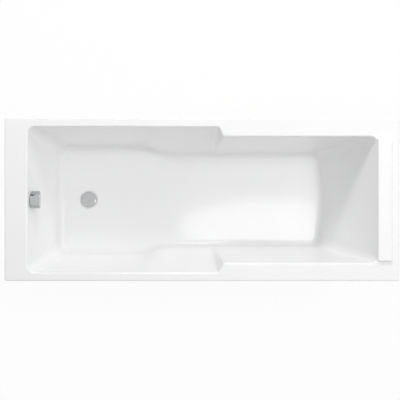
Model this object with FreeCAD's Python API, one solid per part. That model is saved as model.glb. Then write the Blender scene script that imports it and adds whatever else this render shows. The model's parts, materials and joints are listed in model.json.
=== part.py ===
"""Shower bath: an acrylic bath with a wide showering end, its leg frame and its pop-up waste set.

Millimetres, +Z up. The origin is on the room's floor under the middle of the bath, with +X towards
the head end and +Y towards the wall side.
"""
import FreeCAD
import Part

import math
import os

V = FreeCAD.Vector

# Cuts, fits and clearances
OVERRUN = 5.0
BODY_GAP = 0.3
RUN_GAP = 0.05
THREAD_GAP = 0.1

# Bath shell
BATH_LENGTH = 1700.0
BATH_WIDTH = 700.0
FLOOR_HEIGHT = 150.0
WELL_DEPTH = 420.0
SHELL_WALL = 6.0
LIP_HEIGHT = 40.0
RIM_CORNER_ROUND = 9.0
LIP_INNER_ROUND = 3.0
RIM_EDGE_ROUND = 5.0
WELL_EDGE_ROUND = 8.0
WELL_FLOOR_ROUND = 30.0
FLOOR_FALL_DEG = 0.6
CONTOUR_UNDERCUT = 10.0

# Plan of the well at the rim
FOOT_LEDGE = 98.0
HEAD_LEDGE = 93.0
SHOWER_LEDGE = 36.0
BATHING_LEDGE = 78.0
RIM_FOOT_CORNER = 30.0
RIM_HEAD_CORNER = 30.0
STEP_FROM_FOOT = 923.0
STEP_RUN = 20.0
STEP_ROUND = 12.0

# How far each wall of the well comes in on its way down to the floor
FOOT_WALL_INSET = 85.0
SHOWER_WALL_INSET = 66.0
BATHING_WALL_INSET = 62.0
BACKREST_INSET = 224.0
BACKREST_HOLLOW = 17.0
BACKREST_HOLLOW_share = 0.6
FLOOR_FOOT_CORNER = 60.0
FLOOR_HEAD_CORNER = 45.0
NECK_FROM_FOOT = 536.0
NECK_RUN = 164.0
STEP_FLOOR_FROM_FOOT = 880.0
STEP_FLOOR_RUN = 40.0

# Seat of the waste in the floor
WASTE_FROM_FOOT = 318.0
WASTE_HOLE_RADIUS = 26.0
RECESS_RADIUS = 41.0
RECESS_DEPTH = 3.0
SEAT_RADIUS = 46.0
SEAT_WALL = 7.0

# Overflow hole in the foot-end wall
OVERFLOW_DROP = 50.0
OVERFLOW_HOLE_RADIUS = 26.0

# Base board and timber battens
BOARD_FROM_WASTE = 85.0
BOARD_THICK = 16.0
BOARD_MARGIN = 8.0
BOARD_CORNER = 40.0
BATTEN_WIDTH = 42.0
BATTEN_THICK = 18.0
BATTEN_GAP = 2.0
SIDE_BATTEN_END_GAP = 40.0
HEAD_BATTEN_END_GAP = 104.0
FOOT_BATTEN_START = 80.0
FOOT_BATTEN_END_GAP = 44.0

# Leg frame
RAIL_FROM_FOOT = 500.0
RAIL_FROM_HEAD = 500.0
RAIL_SETBACK = 40.0
RAIL_WIDTH = 40.0
RAIL_HEIGHT = 28.0
RAIL_WALL = 2.0
RAIL_BEND = 3.0
RAIL_CAP_PLATE = 3.0
RAIL_CAP_TONGUE = 10.0
RAIL_CAP_ROUND = 1.2
FOOT_INSET = 25.0
STUD_RADIUS = 6.0
STUD_STAND = 34.0
STUD_CHAMFER = 1.2
STUD_HOLE_GAP = 0.6
WASHER_RADIUS = 12.0
WASHER_THICK = 2.0
NUT_FLATS = 19.0
NUT_HEIGHT = 10.0
PAD_RADIUS = 26.0
PAD_PLATE = 7.0
PAD_CHAMFER = 1.5
PAD_BOSS_RADIUS = 11.0
PAD_BOSS_TAPER = 2.0
PAD_HEIGHT = 30.0
PAD_FLOOR = 4.0

# Wood screws
SCREW_RADIUS = 2.2
SCREW_LENGTH = 15.0
SCREW_HOLE_GAP = 0.4
SCREW_HEAD_RADIUS = 5.0
SCREW_HEAD_HEIGHT = 3.2
SCREW_HEAD_CHAMFER = 1.0
RAIL_SCREW_PITCH = 80.0
RAIL_SCREWS = 4

# Wall brackets
BRACKET_END_GAP = 72.0
BRACKET_WIDTH = 30.0
BRACKET_THICK = 2.5
BRACKET_LEG = 36.0
BRACKET_STAND = 4.0
BRACKET_DROP = 6.0
BRACKET_PLATE = 42.0
BRACKET_SCREW_PITCH = 16.0
WALL_HOLE_RADIUS = 3.5
WALL_HOLE_DROP = 24.0

# Waste flange and its seals
TOP_SEAL_THICK = 1.5
FLANGE_RADIUS = 37.0
FLANGE_THICK = 2.0
FLANGE_EDGE = 0.8
NECK_RADIUS = 25.0
NECK_WALL = 3.5
NECK_LENGTH = 20.5
GUIDE_RADIUS = 6.0
GUIDE_DROP = 10.0
GUIDE_HEIGHT = 10.0
SPOKES = 3
SPOKE_WIDTH = 3.0
SPOKE_HEIGHT = 4.0
BODY_SEAL_THICK = 3.0

# Pop-up plug
PLUG_RADIUS = 35.0
PLUG_SKIRT_WALL = 3.5
PLUG_SKIRT_DROP = 2.2
PLUG_EDGE_HEIGHT = 3.0
PLUG_CROWN = 1.5
PLUG_ROUND = 2.0
PLUG_SEAL_WIDTH = 6.0
PLUG_SEAL_THICK = 3.0
STEM_RADIUS = 3.0
STEM_LENGTH = 33.8
STEM_SINK = 2.5
STEM_TIP_RADIUS = 1.0
STEM_TIP_LENGTH = 2.0

# Waste body and the lever inside it
BODY_FLANGE_RADIUS = 38.0
BODY_FLANGE_THICK = 5.0
BOWL_WALL = 4.4
BOWL_HEIGHT = 39.0
BOWL_FLOOR = 3.0
SPIGOT_RADIUS = 23.9
SPIGOT_BORE = 19.0
SPIGOT_LENGTH = 10.0
INLET_DROP = 24.0
LEVER_ARM = 22.0
LEVER_TAIL = 15.0
LEVER_SWING_DEG = 21.0
LEVER_WIDTH = 6.0
LEVER_SLOT_GAP = 1.0
LEVER_TIP_RADIUS = 3.0
LEVER_HUB_RADIUS = 5.0
PIN_RADIUS = 2.0
PIN_LENGTH = 34.0
HOUSING_WIDTH = 20.0
HOUSING_HEIGHT = 20.0
HOUSING_DROP = 7.5
HOUSING_WALL = 2.5
HOUSING_END_GAP = 3.0

# Overflow fittings
OVERFLOW_SEAL_THICK = 3.0
ELBOW_FLANGE_RADIUS = 36.0
ELBOW_FLANGE_THICK = 4.0
ELBOW_RADIUS = 29.0
ELBOW_BORE = 25.5
ELBOW_DEPTH = 36.0
ELBOW_REACH = 19.0
ELBOW_BACK = 3.0
ELBOW_BOSS_RADIUS = 8.0
ELBOW_BOSS_HEIGHT = 5.0
CABLE_BOX_LENGTH = 20.0
CABLE_BOX_HEIGHT = 18.0
CABLE_BOX_WALL = 2.5
ROSETTE_RADIUS = 34.0
ROSETTE_THICK = 3.0
ROSETTE_EDGE = 0.8
SLEEVE_RADIUS = 25.3
SLEEVE_WALL = 3.0
SLEEVE_GRIP = 8.0
HUB_RADIUS = 7.0
HUB_HEIGHT = 7.0
SPINDLE_RADIUS = 4.0
SPINDLE_END_GAP = 1.0
DRUM_RADIUS = 15.0
DRUM_THICK = 6.0
DRUM_BOSS_RADIUS = 8.0
DRUM_BOSS_HEIGHT = 4.0
DRUM_GROOVE = 1.5
DRUM_HOOK_RADIUS = 2.0
KNOB_RADIUS = 38.0
KNOB_FRONT = 40.0
KNOB_SLANT_DEG = 15.0
KNOB_STAND = 3.5
KNOB_SKIRT = 3.0
KNOB_FACE = 4.0
KNOB_ROUND = 1.5
KNOB_HUB_RADIUS = 8.0
KNOB_HUB_HEIGHT = 20.0
KNOB_SLOTS = 3
KNOB_SLOT_DEG = 149.0
KNOB_SLOT_WIDTH = 6.5
KNOB_SLOT_DEPTH = 16.0

# Overflow hose with its clips, and the cable beside it
HOSE_BORE = 14.0
HOSE_GAP = 0.2
HOSE_ROOT = 15.6
HOSE_CREST = 18.0
HOSE_CUFF_RADIUS = 16.5
HOSE_CUFF_LENGTH = 36.0
HOSE_PITCH = 6.0
HOSE_BEND = 70.0
HOSE_RIB_shares = ((0.15, 0), (0.35, 1), (0.65, 1), (0.85, 0))
HOSE_SPIGOT_WALL = 2.3
HOSE_SPIGOT_LENGTH = 34.0
HOSE_STAND = 3.0
CLIP_THICK = 1.2
CLIP_WIDTH = 10.0
CLIP_FROM_END = 10.0
CLIP_HOUSING = 9.0
CLIP_SCREW_RADIUS = 3.0
CLIP_SCREW_LENGTH = 18.0
CABLE_RADIUS = 3.0
CABLE_PORT_RADIUS = 1.5
GLAND_RADIUS = 5.0
GLAND_LENGTH = 14.0
GLAND_SINK = 10.0
GLAND_NUT_RADIUS = 6.5
GLAND_NUT_HEIGHT = 5.0

# Trap
UNION_WASHER_THICK = 2.5
UNION_WASHER_WIDTH = 4.0
TRAP_COLLAR_THICK = 3.0
TRAP_COLLAR_RADIUS = 22.5
DIP_RADIUS = 20.5
DIP_WALL = 2.5
DIP_DROP = 60.0
UNION_WALL = 5.0
UNION_GRIP = 9.0
UNION_LIP = 3.5
UNION_RIBS = 12
UNION_RIB_RADIUS = 2.2
TRAP_GAP = 2.0
TRAP_RADIUS = 48.0
TRAP_WALL = 3.0
TRAP_ROOF = 4.0
TRAP_HEIGHT = 53.0
TRAP_ROUND = 4.0
OUTLET_RADIUS = 20.0
OUTLET_WALL = 2.5
OUTLET_DROP = 22.0
OUTLET_LENGTH = 45.0
OUTLET_COLLAR_RADIUS = 22.5
OUTLET_COLLAR_LENGTH = 2.0
CUP_WALL = 4.0
CUP_OVERLAP = 8.0
CUP_SHOULDER = 3.0
CUP_DEPTH = 11.0
CUP_FLOOR = 3.0
CUP_SEAL_THICK = 2.0
CUP_RIBS = 18
CUP_RIB_RADIUS = 2.0

# Headrest
HEADREST_LENGTH = 530.0
HEADREST_DEPTH = 61.0
HEADREST_HEIGHT = 14.0
HEADREST_CROWN = 2.0
HEADREST_ROUND = 4.0
PEG_RADIUS = 5.0
PEG_SINK = 6.0
PEG_DROP = 14.0
PEG_CHAMFER = 1.0
PEG_INSET = 65.0
GROMMET_WALL = 3.0
GROMMET_FLANGE = 3.0
GROMMET_FLANGE_THICK = 2.0

# Places worked out from the sizes above
FOOT_X = -BATH_LENGTH / 2
HEAD_X = BATH_LENGTH / 2
WASTE_X = FOOT_X + WASTE_FROM_FOOT
FLOOR_Z = FLOOR_HEIGHT
RIM_HEIGHT = FLOOR_HEIGHT + WELL_DEPTH
NECK_START = FOOT_X + NECK_FROM_FOOT
NECK_END = NECK_START + NECK_RUN
FLOOR_HALF = BATH_WIDTH / 2 - BATHING_LEDGE - BATHING_WALL_INSET
LIP_INNER_X = BATH_LENGTH / 2 - SHELL_WALL
LIP_INNER_Y = BATH_WIDTH / 2 - SHELL_WALL
RIM_UNDER = RIM_HEIGHT - SHELL_WALL
WELL_HEAD_X = HEAD_X - HEAD_LEDGE
RAIL_LENGTH = BATH_WIDTH - 2 * RAIL_SETBACK
RAIL_X = {"foot_end": FOOT_X + RAIL_FROM_FOOT, "head_end": HEAD_X - RAIL_FROM_HEAD}
FOOT_SPREAD = RAIL_LENGTH / 2 - FOOT_INSET
SIDE_BATTEN_START = FOOT_X + STEP_FROM_FOOT + STEP_RUN + SIDE_BATTEN_END_GAP
SIDE_BATTEN_END = WELL_HEAD_X - SIDE_BATTEN_END_GAP
BRACKET_X = (SIDE_BATTEN_START + BRACKET_END_GAP, SIDE_BATTEN_END - BRACKET_END_GAP)

SEAT_TOP = FLOOR_Z - RECESS_DEPTH
SEAT_UNDER = SEAT_TOP - SEAT_WALL
FLANGE_UNDER = SEAT_TOP + TOP_SEAL_THICK
FLANGE_TOP = FLANGE_UNDER + FLANGE_THICK
PLUG_UNDER = FLANGE_TOP + BODY_GAP + PLUG_SEAL_THICK
STEM_BOTTOM = PLUG_UNDER - STEM_LENGTH
BODY_TOP = SEAT_UNDER - BODY_SEAL_THICK
BOWL_RADIUS = NECK_RADIUS + THREAD_GAP
BOWL_OUTER = BOWL_RADIUS + BOWL_WALL
BOWL_UNDER = BODY_TOP - BOWL_HEIGHT
SPIGOT_END = BOWL_UNDER - SPIGOT_LENGTH
INLET_Z = BODY_TOP - INLET_DROP
HOSE_SPIGOT_RADIUS = HOSE_BORE - HOSE_GAP

LEVER_TILT = math.radians(LEVER_SWING_DEG / 2)
LEVER_TIP_Z = STEM_BOTTOM - BODY_GAP - LEVER_TIP_RADIUS
PIVOT_Y = LEVER_ARM * math.cos(LEVER_TILT)
PIVOT_Z = LEVER_TIP_Z + LEVER_ARM * math.sin(LEVER_TILT)
CABLE_Y = PIVOT_Y + LEVER_TAIL * math.cos(LEVER_TILT)
HOUSING_TOP = BODY_TOP - HOUSING_DROP
HOUSING_Z = HOUSING_TOP - HOUSING_HEIGHT / 2
HOUSING_END = CABLE_Y + LEVER_TIP_RADIUS + HOUSING_END_GAP + HOUSING_WALL

FOOT_WALL_LEAN = math.atan2(FOOT_WALL_INSET, WELL_DEPTH + CONTOUR_UNDERCUT)
FOOT_WALL = SHELL_WALL * math.cos(FOOT_WALL_LEAN)
OVERFLOW_X = FOOT_X + FOOT_LEDGE + OVERFLOW_DROP * math.tan(FOOT_WALL_LEAN)
OVERFLOW_Z = RIM_HEIGHT - OVERFLOW_DROP
ELBOW_FACE = -FOOT_WALL - OVERFLOW_SEAL_THICK
ELBOW_CUP = ELBOW_FACE - ELBOW_FLANGE_THICK
ELBOW_AXIS = ELBOW_CUP - ELBOW_REACH
ELBOW_END = ELBOW_CUP - ELBOW_DEPTH
KNOB_BACK = ROSETTE_THICK + KNOB_STAND

COLLAR_TOP = SPIGOT_END - UNION_WASHER_THICK
COLLAR_UNDER = COLLAR_TOP - TRAP_COLLAR_THICK
UNION_BOTTOM = COLLAR_UNDER - UNION_LIP
TRAP_TOP = UNION_BOTTOM - TRAP_GAP
TRAP_BOTTOM = TRAP_TOP - TRAP_HEIGHT
OUTLET_Z = TRAP_TOP - OUTLET_DROP
CUP_INNER = TRAP_RADIUS + THREAD_GAP

OVERFLOW_PLACE = FreeCAD.Placement(
    V(OVERFLOW_X, 0, OVERFLOW_Z), FreeCAD.Rotation(V(0, 1, 0), 90 - math.degrees(FOOT_WALL_LEAN)))
FLOOR_PLACE = FreeCAD.Placement(V(WASTE_X, 0, FLOOR_Z), FreeCAD.Rotation(V(0, 1, 0), -FLOOR_FALL_DEG))
WASTE_PLACE = FreeCAD.Placement(V(WASTE_X, 0, 0), FreeCAD.Rotation())


def placed(shape, placement):
    """A copy of a shape, carried from a local frame to its place."""
    copy = shape.copy()
    copy.Placement = placement.multiply(copy.Placement)
    return copy


def box(x0, x1, y0, y1, z0, z1):
    """A block between two values on each axis."""
    return Part.makeBox(x1 - x0, y1 - y0, z1 - z0, V(x0, y0, z0))


def cylinder(radius, z0, z1, x=0.0, y=0.0):
    """An upright cylinder between two heights."""
    return Part.makeCylinder(radius, z1 - z0, V(x, y, z0))


def ring(outer, inner, z0, z1, x=0.0, y=0.0):
    """An upright ring between two heights."""
    return cylinder(outer, z0, z1, x, y).cut(cylinder(inner, z0 - OVERRUN, z1 + OVERRUN, x, y))


def along_x(radius, x0, x1, y, z):
    """A cylinder that lies along X."""
    return Part.makeCylinder(radius, x1 - x0, V(x0, y, z), V(1, 0, 0))


def turned(profile):
    """A solid turned about Z from its corners, each a radius and a height."""
    corners = [V(radius, 0, z) for radius, z in profile]
    return Part.Face(Part.makePolygon(corners + corners[:1])).revolve(V(), V(0, 0, 1), 360)


def dome(radius, z, crown):
    """A shallow spherical cap on the plane at height z."""
    ball = (radius * radius + crown * crown) / (2 * crown)
    cap = Part.makeSphere(ball, V(0, 0, z + crown - ball))
    return cap.common(cylinder(radius, z, z + crown + OVERRUN))


def rounded_block(length, width, z0, z1, corner):
    """An upright block about the Z axis with round vertical edges."""
    block = box(-length / 2, length / 2, -width / 2, width / 2, z0, z1)
    upright = [edge for edge in block.Edges if edge.BoundBox.ZLength > (z1 - z0) / 2]
    return block.makeFillet(corner, upright)


def circles_at(shape, radius, z):
    """The circular edges of one radius at one height."""
    found = []
    for edge in shape.Edges:
        if not edge.Degenerated and isinstance(edge.Curve, Part.Circle):
            off = abs(edge.Curve.Radius - radius) + abs(edge.Curve.Center.z - z)
            if off < RUN_GAP:
                found.append(edge)
    return found


def hex_nut(flats, bore, z0, z1, x, y):
    """A hexagon nut between two heights."""
    reach = flats / math.sqrt(3)
    corners = [V(x + reach * math.cos(turn * math.pi / 3), y + reach * math.sin(turn * math.pi / 3), z0)
               for turn in range(7)]
    prism = Part.Face(Part.makePolygon(corners)).extrude(V(0, 0, z1 - z0))
    crown = turned([(0, z0), (flats / 2, z0), (reach, z0 + (reach - flats / 2)),
                    (reach, z1 - (reach - flats / 2)), (flats / 2, z1), (0, z1)])
    crown.translate(V(x, y, 0))
    return prism.common(crown).cut(cylinder(bore, z0 - OVERRUN, z1 + OVERRUN, x, y))


def line(points):
    return Part.LineSegment(*points).toShape()


def arc(points):
    return Part.Arc(*points).toShape()


def bezier(points):
    curve = Part.BezierCurve()
    curve.setPoles(points)
    return curve.toShape()


def quarter(start, corner, end):
    """A quarter circle between two legs of a right-angled corner, as a maker and its points."""
    centre = (start[0] + end[0] - corner[0], start[1] + end[1] - corner[1])
    middle = [centre[i] + (corner[i] - centre[i]) * math.sqrt(0.5) for i in range(2)]
    return arc, [start, tuple(middle), end]


def step_points(out):
    """Plan of the step at the rim: rounded hollow corner, slanted face, rounded nose."""
    shower = BATH_WIDTH / 2 - SHOWER_LEDGE + out
    bathing = BATH_WIDTH / 2 - BATHING_LEDGE + out
    turn = math.atan2(shower - bathing, STEP_RUN)
    start = FOOT_X + STEP_FROM_FOOT + out * math.tan(turn / 2)
    hollow = (STEP_ROUND + out) * math.tan(turn / 2)
    nose = STEP_ROUND * STEP_ROUND / (STEP_ROUND + out) * math.tan(turn / 2)
    along = (math.cos(turn), -math.sin(turn))
    end = start + STEP_RUN
    return [(start - hollow, shower), (start, shower),
            (start + hollow * along[0], shower + hollow * along[1]),
            (end - nose * along[0], bathing - nose * along[1]), (end, bathing), (end + nose, bathing)]


def step_floor_points(out, half):
    """Where the step's three faces end on the floor's straight edge, in step with the rim."""
    points = step_points(out)
    hollow, face, nose = [math.dist(points[i], points[i + 1]) for i in (0, 2, 4)]
    speeds = [2 * hollow, face, 2 * nose]
    x = FOOT_X + STEP_FLOOR_FROM_FOOT
    places = [(x, half)]
    for speed in speeds:
        x += STEP_FLOOR_RUN * speed / sum(speeds)
        places.append((x, half))
    return places


def rim_contour(z, out):
    """The +Y half of the well's plan at the rim, and its head-end edge."""
    foot = FOOT_X + FOOT_LEDGE - out
    head = WELL_HEAD_X + out
    shower = BATH_WIDTH / 2 - SHOWER_LEDGE + out
    bathing = BATH_WIDTH / 2 - BATHING_LEDGE + out
    near, far = RIM_FOOT_CORNER + out, RIM_HEAD_CORNER + out
    step = step_points(out)
    half = [
        quarter((foot, shower - near), (foot, shower), (foot + near, shower)),
        (line, [(foot + near, shower), (NECK_START, shower)]),
        (line, [(NECK_START, shower), (NECK_END, shower)]),
        (line, [(NECK_END, shower), step[0]]),
        (bezier, step[0:3]),
        (line, step[2:4]),
        (bezier, step[3:6]),
        (line, [step[5], (head - far, bathing)]),
        quarter((head - far, bathing), (head, bathing), (head, bathing - far)),
    ]
    return closed_contour(half, (line, [(head, bathing - far), (head, far - bathing)]), z)


def floor_contour(z, out, stretch):
    """The +Y half of the well's plan at the floor, and the hollow foot of its backrest."""
    foot = FOOT_X + FOOT_LEDGE + FOOT_WALL_INSET * stretch - out
    head = WELL_HEAD_X - BACKREST_INSET * stretch + out
    shower = BATH_WIDTH / 2 - SHOWER_LEDGE - SHOWER_WALL_INSET * stretch + out
    bathing = BATH_WIDTH / 2 - BATHING_LEDGE - BATHING_WALL_INSET * stretch + out
    near, far = FLOOR_FOOT_CORNER + out, FLOOR_HEAD_CORNER + out
    step = step_floor_points(out, bathing)
    middle = (NECK_START + NECK_END) / 2
    half = [
        quarter((foot, shower - near), (foot, shower), (foot + near, shower)),
        (line, [(foot + near, shower), (NECK_START, shower)]),
        (bezier, [(NECK_START, shower), (middle, shower), (middle, bathing), (NECK_END, bathing)]),
        (line, [(NECK_END, bathing), step[0]]),
        (line, step[0:2]),
        (line, step[1:3]),
        (line, step[2:4]),
        (line, [step[3], (head - far, bathing)]),
        quarter((head - far, bathing), (head, bathing), (head, bathing - far)),
    ]
    side = bathing - far
    inner = side * BACKREST_HOLLOW_share
    pole = head + BACKREST_HOLLOW * 16 / 6
    hollow = [(head, side), (head, inner), (pole, 0), (head, -inner), (head, -side)]
    return closed_contour(half, (bezier, hollow), z)


def closed_contour(half, head_edge, z):
    """The edges of a closed contour at height z, from its +Y half and its head-end edge."""
    mirrored = [(maker, [(x, -y) for x, y in reversed(points)]) for maker, points in reversed(half)]
    foot_edge = (line, [mirrored[-1][1][-1], half[0][1][0]])
    edges = []
    for maker, points in half + [head_edge] + mirrored + [foot_edge]:
        edges.append(maker([V(x, y, z) for x, y in points]))
    return edges


def solid_between(top, bottom):
    """The solid with straight-ruled walls between two contours that match edge by edge."""
    faces = [Part.makeRuledSurface(upper, lower) for upper, lower in zip(top, bottom)]
    faces += [Part.Face(Part.Wire(top)), Part.Face(Part.Wire(bottom))]
    shell = Part.Shell(faces)
    shell.sewShape()
    solid = Part.Solid(shell)
    if solid.Volume < 0:
        solid.reverse()
    return solid


def well_solid(out):
    """The hollow of the well, or with the wall's thickness as out, the space inside its back face."""
    drop = WELL_DEPTH + CONTOUR_UNDERCUT
    deep = drop + out
    walls = solid_between(rim_contour(RIM_HEIGHT, out), floor_contour(RIM_HEIGHT - deep, out, deep / drop))
    below = box(-BATH_LENGTH, BATH_LENGTH, -BATH_WIDTH, BATH_WIDTH, -WELL_DEPTH - out, -out)
    well = walls.cut(placed(below, FLOOR_PLACE)).Solids[0]
    floor = min(well.Faces, key=lambda face: face.CenterOfMass.z)
    return well.makeFillet(WELL_FLOOR_ROUND + out, floor.Edges)


def rim_top(shell):
    """The flat top face of the rim."""
    return max(shell.Faces, key=lambda face: face.CenterOfMass.z)


def bath_shell():
    """Rim with its turned-down lip and the well, one vacuum-formed sheet with holes for the fittings."""
    rim = rounded_block(BATH_LENGTH, BATH_WIDTH, RIM_HEIGHT - LIP_HEIGHT, RIM_HEIGHT, RIM_CORNER_ROUND)
    pocket = rounded_block(2 * LIP_INNER_X, 2 * LIP_INNER_Y, RIM_HEIGHT - LIP_HEIGHT - OVERRUN, RIM_UNDER,
                           LIP_INNER_ROUND)
    seat = cylinder(SEAT_RADIUS, SEAT_UNDER, FLOOR_Z, WASTE_X)
    shell = rim.cut(pocket).fuse([well_solid(SHELL_WALL), seat])
    shell = shell.cut(well_solid(0.0)).removeSplitter()
    top = rim_top(shell)
    well_edges = [edge for wire in top.Wires if not wire.isSame(top.OuterWire) for edge in wire.Edges]
    shell = shell.makeFillet(WELL_EDGE_ROUND, well_edges)
    shell = shell.makeFillet(RIM_EDGE_ROUND, rim_top(shell).OuterWire.Edges)
    holes = [
        cylinder(RECESS_RADIUS, SEAT_TOP, FLOOR_Z + OVERRUN, WASTE_X),
        cylinder(WASTE_HOLE_RADIUS, SEAT_UNDER - OVERRUN, FLOOR_Z, WASTE_X),
        placed(cylinder(OVERFLOW_HOLE_RADIUS, -SHELL_WALL - OVERRUN, OVERRUN), OVERFLOW_PLACE),
    ]
    for x, y in peg_places():
        radius = PEG_RADIUS + GROMMET_WALL + THREAD_GAP
        holes.append(cylinder(radius, RIM_UNDER - OVERRUN, RIM_HEIGHT + OVERRUN, x, y))
    return shell.cut(holes)


def base_board():
    """Chipboard panel bonded under the floor, with pilot holes for the rails' screws."""
    start = BOARD_FROM_WASTE
    end = WELL_HEAD_X - BACKREST_INSET - WELL_FLOOR_ROUND - BOARD_MARGIN - WASTE_X
    half = FLOOR_HALF - WELL_FLOOR_ROUND - BOARD_MARGIN
    board = rounded_block(end - start, 2 * half, -SHELL_WALL - BOARD_THICK, -SHELL_WALL, BOARD_CORNER)
    board.translate(V((start + end) / 2, 0, 0))
    board = placed(board, FLOOR_PLACE)
    pilots = []
    for x, y, z in rail_screw_places():
        pilots.append(cylinder(SCREW_RADIUS + THREAD_GAP, z, z + SCREW_LENGTH + THREAD_GAP, x, y))
    return board.cut(pilots)


def batten(x0, x1, y0, y1):
    """A timber strip bonded under the rim."""
    return box(x0, x1, y0, y1, RIM_UNDER - BATTEN_THICK, RIM_UNDER)


def side_batten(side):
    """Batten under the wide ledge beside the bather, on the front (-1) or the wall side (+1)."""
    outer = LIP_INNER_Y - BATTEN_GAP
    strip = batten(SIDE_BATTEN_START, SIDE_BATTEN_END, outer - BATTEN_WIDTH, outer)
    pilots = []
    for x, y in bracket_screw_places():
        low = RIM_UNDER - BATTEN_THICK - OVERRUN
        pilots.append(cylinder(SCREW_RADIUS + THREAD_GAP, low, RIM_UNDER - OVERRUN, x, y))
    if side > 0:
        return strip.cut(pilots)
    return strip.mirror(V(), V(0, 1, 0))


def head_batten():
    """Batten under the head-end rim, behind the headrest's pegs."""
    outer = LIP_INNER_X - BATTEN_GAP
    half = LIP_INNER_Y - HEAD_BATTEN_END_GAP
    return batten(outer - BATTEN_WIDTH, outer, -half, half)


def foot_batten(side):
    """Batten under the foot-end rim, on one side of the overflow."""
    outer = -LIP_INNER_X + BATTEN_GAP
    ends = sorted((side * FOOT_BATTEN_START, side * (LIP_INNER_Y - FOOT_BATTEN_END_GAP)))
    return batten(outer, outer + BATTEN_WIDTH, ends[0], ends[1])


def rail_top(end):
    """Height of a rail's top face, where its lower edge meets the sloping board."""
    reach = RAIL_X[end] - RAIL_WIDTH / 2 - WASTE_X
    lean = math.radians(FLOOR_FALL_DEG)
    return FLOOR_Z + reach * math.tan(lean) - (SHELL_WALL + BOARD_THICK) / math.cos(lean)


def rail_screw_places():
    """Where the rails' screws enter the board, at the underside of each rail's web."""
    places = []
    for end in RAIL_X:
        for count in range(RAIL_SCREWS):
            y = (count - (RAIL_SCREWS - 1) / 2) * RAIL_SCREW_PITCH
            places.append((RAIL_X[end], y, rail_top(end) - RAIL_WALL))
    return places


def foot_places():
    """The four feet: name, place in plan and height of the rail's top."""
    places = []
    for end in RAIL_X:
        for side, sign in (("front", -1), ("back", 1)):
            places.append((end + "_" + side, RAIL_X[end], sign * FOOT_SPREAD, rail_top(end)))
    return places


def leg_rail(end):
    """Folded steel channel, open below, that carries two feet."""
    x, top = RAIL_X[end], rail_top(end)
    half, low = RAIL_WIDTH / 2, top - RAIL_HEIGHT
    outer = box(x - half, x + half, -RAIL_LENGTH / 2, RAIL_LENGTH / 2, low, top)
    bends = [edge for edge in outer.Edges
             if edge.BoundBox.YLength > RAIL_WIDTH and edge.CenterOfMass.z > top - RAIL_WALL]
    outer = outer.makeFillet(RAIL_BEND, bends)
    inner = box(x - half + RAIL_WALL, x + half - RAIL_WALL, -RAIL_LENGTH / 2 - OVERRUN,
                RAIL_LENGTH / 2 + OVERRUN, low - OVERRUN, top - RAIL_WALL)
    holes = [inner]
    for sign in (-1, 1):
        holes.append(cylinder(STUD_RADIUS + STUD_HOLE_GAP, low, top + OVERRUN, x, sign * FOOT_SPREAD))
    for place_x, y, z in rail_screw_places():
        if place_x == x:
            holes.append(cylinder(SCREW_RADIUS + SCREW_HOLE_GAP, z - OVERRUN, top + OVERRUN, x, y))
    return outer.cut(holes)


def rail_end_caps():
    """Plastic caps pushed into the four rail ends."""
    caps = []
    for end in RAIL_X:
        x, top = RAIL_X[end], rail_top(end)
        half, low, finish = RAIL_WIDTH / 2, top - RAIL_HEIGHT, RAIL_LENGTH / 2
        plate = box(x - half, x + half, finish, finish + RAIL_CAP_PLATE, low, top)
        rim = [edge for edge in plate.Edges if edge.CenterOfMass.y > finish + RAIL_CAP_PLATE - RUN_GAP]
        plate = plate.makeFillet(RAIL_CAP_ROUND, rim)
        inset = half - RAIL_WALL - THREAD_GAP
        tongue = box(x - inset, x + inset, finish - RAIL_CAP_TONGUE, finish, low, top - RAIL_WALL - THREAD_GAP)
        cap = plate.fuse(tongue)
        caps += [cap, cap.mirror(V(), V(0, 1, 0))]
    return Part.Compound(caps)


def wood_screw(x, y, z):
    """A pan-head screw driven upwards, with the face under its head at height z."""
    low = z - SCREW_HEAD_HEIGHT
    screw = turned([(0, low), (SCREW_HEAD_RADIUS - SCREW_HEAD_CHAMFER, low),
                    (SCREW_HEAD_RADIUS, low + SCREW_HEAD_CHAMFER), (SCREW_HEAD_RADIUS, z), (SCREW_RADIUS, z),
                    (SCREW_RADIUS, z + SCREW_LENGTH - SCREW_RADIUS), (0, z + SCREW_LENGTH)])
    screw.translate(V(x, y, 0))
    return screw


def rail_screws():
    """Screws that hold both rails to the base board."""
    return Part.Compound([wood_screw(x, y, z) for x, y, z in rail_screw_places()])


def leg_washers():
    """Washers above and below each rail."""
    washers = []
    for name, x, y, top in foot_places():
        for low in (top, top - RAIL_WALL - WASHER_THICK):
            washers.append(ring(WASHER_RADIUS, STUD_RADIUS + STUD_HOLE_GAP, low, low + WASHER_THICK, x, y))
    return Part.Compound(washers)


def leg_nuts():
    """Nuts that clamp each stud to its rail."""
    nuts = []
    for name, x, y, top in foot_places():
        for low in (top + WASHER_THICK, top - RAIL_WALL - WASHER_THICK - NUT_HEIGHT):
            nuts.append(hex_nut(NUT_FLATS, STUD_RADIUS + RUN_GAP, low, low + NUT_HEIGHT, x, y))
    return Part.Compound(nuts)


def foot_stud(x, y, rail):
    """Threaded stud of an adjustable foot, standing through its rail and upper nut."""
    top = rail + WASHER_THICK + NUT_HEIGHT + STUD_STAND
    stud = turned([(0, PAD_FLOOR), (STUD_RADIUS - STUD_CHAMFER, PAD_FLOOR),
                   (STUD_RADIUS, PAD_FLOOR + STUD_CHAMFER), (STUD_RADIUS, top - STUD_CHAMFER),
                   (STUD_RADIUS - STUD_CHAMFER, top), (0, top)])
    stud.translate(V(x, y, 0))
    return stud


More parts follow.
